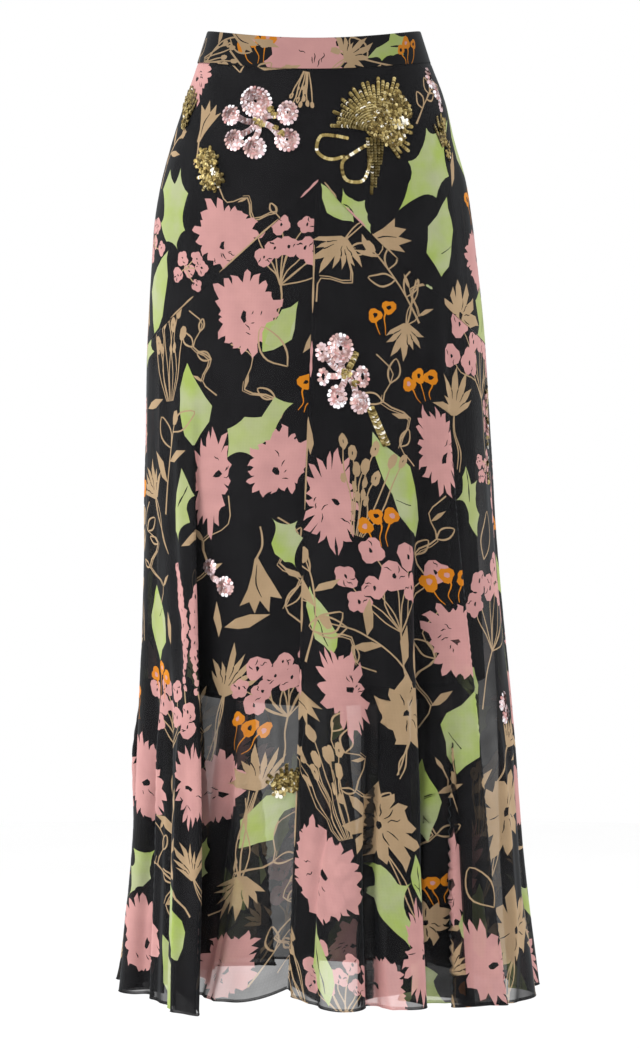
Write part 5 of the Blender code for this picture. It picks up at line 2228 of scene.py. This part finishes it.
def gold_chrysanthemum(gold):
    """The large gold flower: neat ropes on one side, a jumbled side, stems and outlined leaves."""
    gold.go_to(CHRYSANTHEMUM)
    # Ribbed ropes get painted shade on every other disc.
    ribbed = {"shares": GOLD_ROPE_SHARES, "ribs": True}
    reaches = np.linspace(39, 57, 19) + 4.0 * np.cos(np.arange(19) * 2.2)
    gold.petals(0, 0, np.linspace(-172, -58, 19), reaches, root=6.0, lean=0.03, tilt=0.45, **ribbed)
    reaches = 45 + 4 * np.sin(np.arange(14) * 1.9)
    gold.petals(0, 0, np.linspace(-56, 44, 14), reaches, root=10.0, lean=-0.06, tilt=0.35)
    # These heaps, and the heart, carry painted shade in the dark tone.
    gold.heap(22, -16, 46, 52, 2.0, SHADE_SHARES)
    gold.heap(6, -4, 26, 26, 2.2, HEART_SHARES)
    gold.heap(24, 8, 30, 20, 2.1, SHADE_SHARES)
    # Glinting tones laid on top: a painted glint.
    gold.heap(31, -6, 18, 13, 2.4, GLINT_SHARES, 0.35, over=1.6)
    for start, end, foot in GOLD_STEMS:
        gold.rope([(start, 8), ((start + end) / 2 + 1, foot * 0.6), (end, foot)],
                  spacing=1.5, tilt=0.55, radius=1.8, **ribbed)
    for loop in GOLD_LOOPS:
        gold.rope(loop, spacing=2.5, tilt=0.15, radius=1.9, shares=LOOP_SHARES)


def gold_rosette(gold):
    """The small double flower at the right hip, with short petals round two heaps."""
    gold.go_to(ROSETTE)
    lobe = (15, 18, 16, 20, 17, 19, 16, 18, 15)
    for u, v, first, last in ((-5, -4, -190, -10), (1, 6, 190, 0)):
        gold.petals(u, v, np.linspace(first, last, 9), lobe, root=3.0, tilt=0.35, spacing=1.5,
                    shares=GOLD_ROPE_SHARES, ribs=True)
    # Both heaps carry painted shade in the dark tone.
    gold.heap(-5, -6, 25, 28, 1.8, SHADE_SHARES)
    gold.heap(3, 10, 25, 24, 1.8, SHADE_SHARES)
    # Glinting tones laid on top: a painted glint.
    gold.heap(6, 4, 8, 6, 2.4, GLINT_SHARES, 0.3, over=1.2)


def gold_tufts(gold):
    """Tufts near both side seams and in the hem's sheer part."""
    gold.go_to(RIGHT_TUFT)
    gold.petals(0, 14, np.linspace(-140, -60, 8), (34, 38, 40, 41, 40, 38, 34, 30), tilt=0.45, ribs=True)
    gold.heap(-2, 4, 16, 30)
    gold.go_to(LEFT_TUFT)
    gold.petals(0, 18, np.linspace(-120, -80, 4), (34, 40, 42, 38), tilt=0.4, ribs=True)
    gold.heap(-2, -10, 9, 16)
    gold.heap(5, 14, 9, 22)
    gold.go_to(HEM_TUFT)
    gold.petals(0, 0, np.linspace(-150, -30, 9), 24 + 3 * np.sin(np.arange(9) * 2.1), root=4.0, tilt=0.45)
    # This heap carries painted shade in the dark tone.
    gold.heap(0, -6, 30, 24, 2.0, SHADE_SHARES)
    # Glinting tones laid on top: a painted glint.
    gold.heap(-8, 2, 14, 9, 2.6, GLINT_SHARES, 0.3, over=1.2)


def build_sequins(charts):
    front = Front(charts)
    pink = Spray(front, 41)
    for pixels, heads, joint in PINK_FLOWERS:
        pink.go_to(pixels)
        pink.flower_heads(heads, joint)
    gold = Spray(front, 42)
    for part in (gold_in_pink, gold_chrysanthemum, gold_rosette, gold_tufts):
        part(gold)
    gold.go_to(SIDE_DOTS)
    for v in (-52, -38, -22, 2, 24, 40):
        gold.heap(5, v, 5, 12, 1.9)
    pink.go_to(SIDE_DOTS)
    pink.heap(6, -12, 5, 10, 1.9)
    for spray, name, tone in ((pink, "sequins_pink", "rose_sequin"), (gold, "sequins_gold", "gold_sequin")):
        colours = SEQUIN_TONES[tone]
        materials = [sequin_material(f"{tone}_{k}", colour, k == GLINT) for k, colour in enumerate(colours)]
        spray.build(name, materials)


# Stage, light and camera.

FLOOR_Z = -1.30
FLOOR_RADIUS = 4.0
CAMERA_LENS = 84.26
CAMERA_SENSOR = 36.0
SKIRT_MIDDLE = (0.0, 0.0, -0.5)
# Soft square lights: name, place, size and power.
LIGHTS = (
    ("key", (-2.5, -2.2, 0.7), (2.2, 2.4), 66),
    ("fill", (2.2, -1.8, 0.2), (1.2, 2.0), 12),
)


def stage_material():
    """Matt off-white paper."""
    made, tree, shader = new_material("studio_paper")
    place = tree.nodes.new("ShaderNodeTexCoord").outputs["Object"]
    uneven = between(tree, noise(tree, place, 1.5, 2.0), 0.3, 0.7)
    colour_from(tree, shader, uneven, (0.94, 0.94, 0.94), (0.96, 0.96, 0.96))
    set_sockets(shader, {"Roughness": 0.9, "Specular IOR Level": 0.1})
    return made


def build_stage():
    """A pale round floor."""
    sides = 96
    turns = np.arange(sides) * TAU / sides
    rim = np.stack([np.cos(turns), np.sin(turns), np.zeros(sides)], axis=-1) * FLOOR_RADIUS
    vertices = np.concatenate([rim, np.zeros((1, 3))]) + np.array([0.0, 0.0, FLOOR_Z])
    faces = np.array([(k, (k + 1) % sides, sides) for k in range(sides)])
    floor = make_mesh("studio_floor", vertices, faces, [stage_material()])


def add_light(name, place, size, power):
    """A soft light that faces the skirt."""
    lamp = bpy.data.lights.new(name, "AREA")
    lamp.shape = "RECTANGLE"
    lamp.size, lamp.size_y = size
    lamp.energy = power
    made = bpy.data.objects.new(name, lamp)
    made.location = place
    aim = Vector(SKIRT_MIDDLE) - Vector(place)
    made.rotation_euler = aim.to_track_quat("-Z", "Y").to_euler()
    bpy.context.scene.collection.objects.link(made)


def build_light():
    """Even white light from all round, and the two lights."""
    world = bpy.data.worlds.new("studio")
    bpy.context.scene.world = world
    world.use_nodes = True
    back = world.node_tree.nodes["Background"]
    back.inputs["Color"].default_value = (1.0, 1.0, 1.0, 1.0)
    back.inputs["Strength"].default_value = 1.0
    for light in LIGHTS:
        add_light(*light)
    view = bpy.context.scene.view_settings
    view.view_transform = "Standard"
    view.look = "None"
    view.exposure = 0.0


def build_camera():
    lens = bpy.data.cameras.new("camera")
    lens.lens = CAMERA_LENS
    lens.sensor_width = CAMERA_SENSOR
    lens.sensor_fit = "AUTO"
    made = bpy.data.objects.new("camera", lens)
    made.location = CAMERA_PLACE
    made.rotation_euler = (math.radians(90.0), 0.0, 0.0)
    bpy.context.scene.collection.objects.link(made)
    bpy.context.scene.camera = made


build_camera()
build_light()
build_stage()
charts = skirt_pieces()
band_pieces()
lining_pieces()
sewing()
zip_tape()
zip_coil()
for name in ("zip_slider", "zip_pull"):
    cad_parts[name].material_slots[0].material = ZIP_METAL
build_sequins(charts)
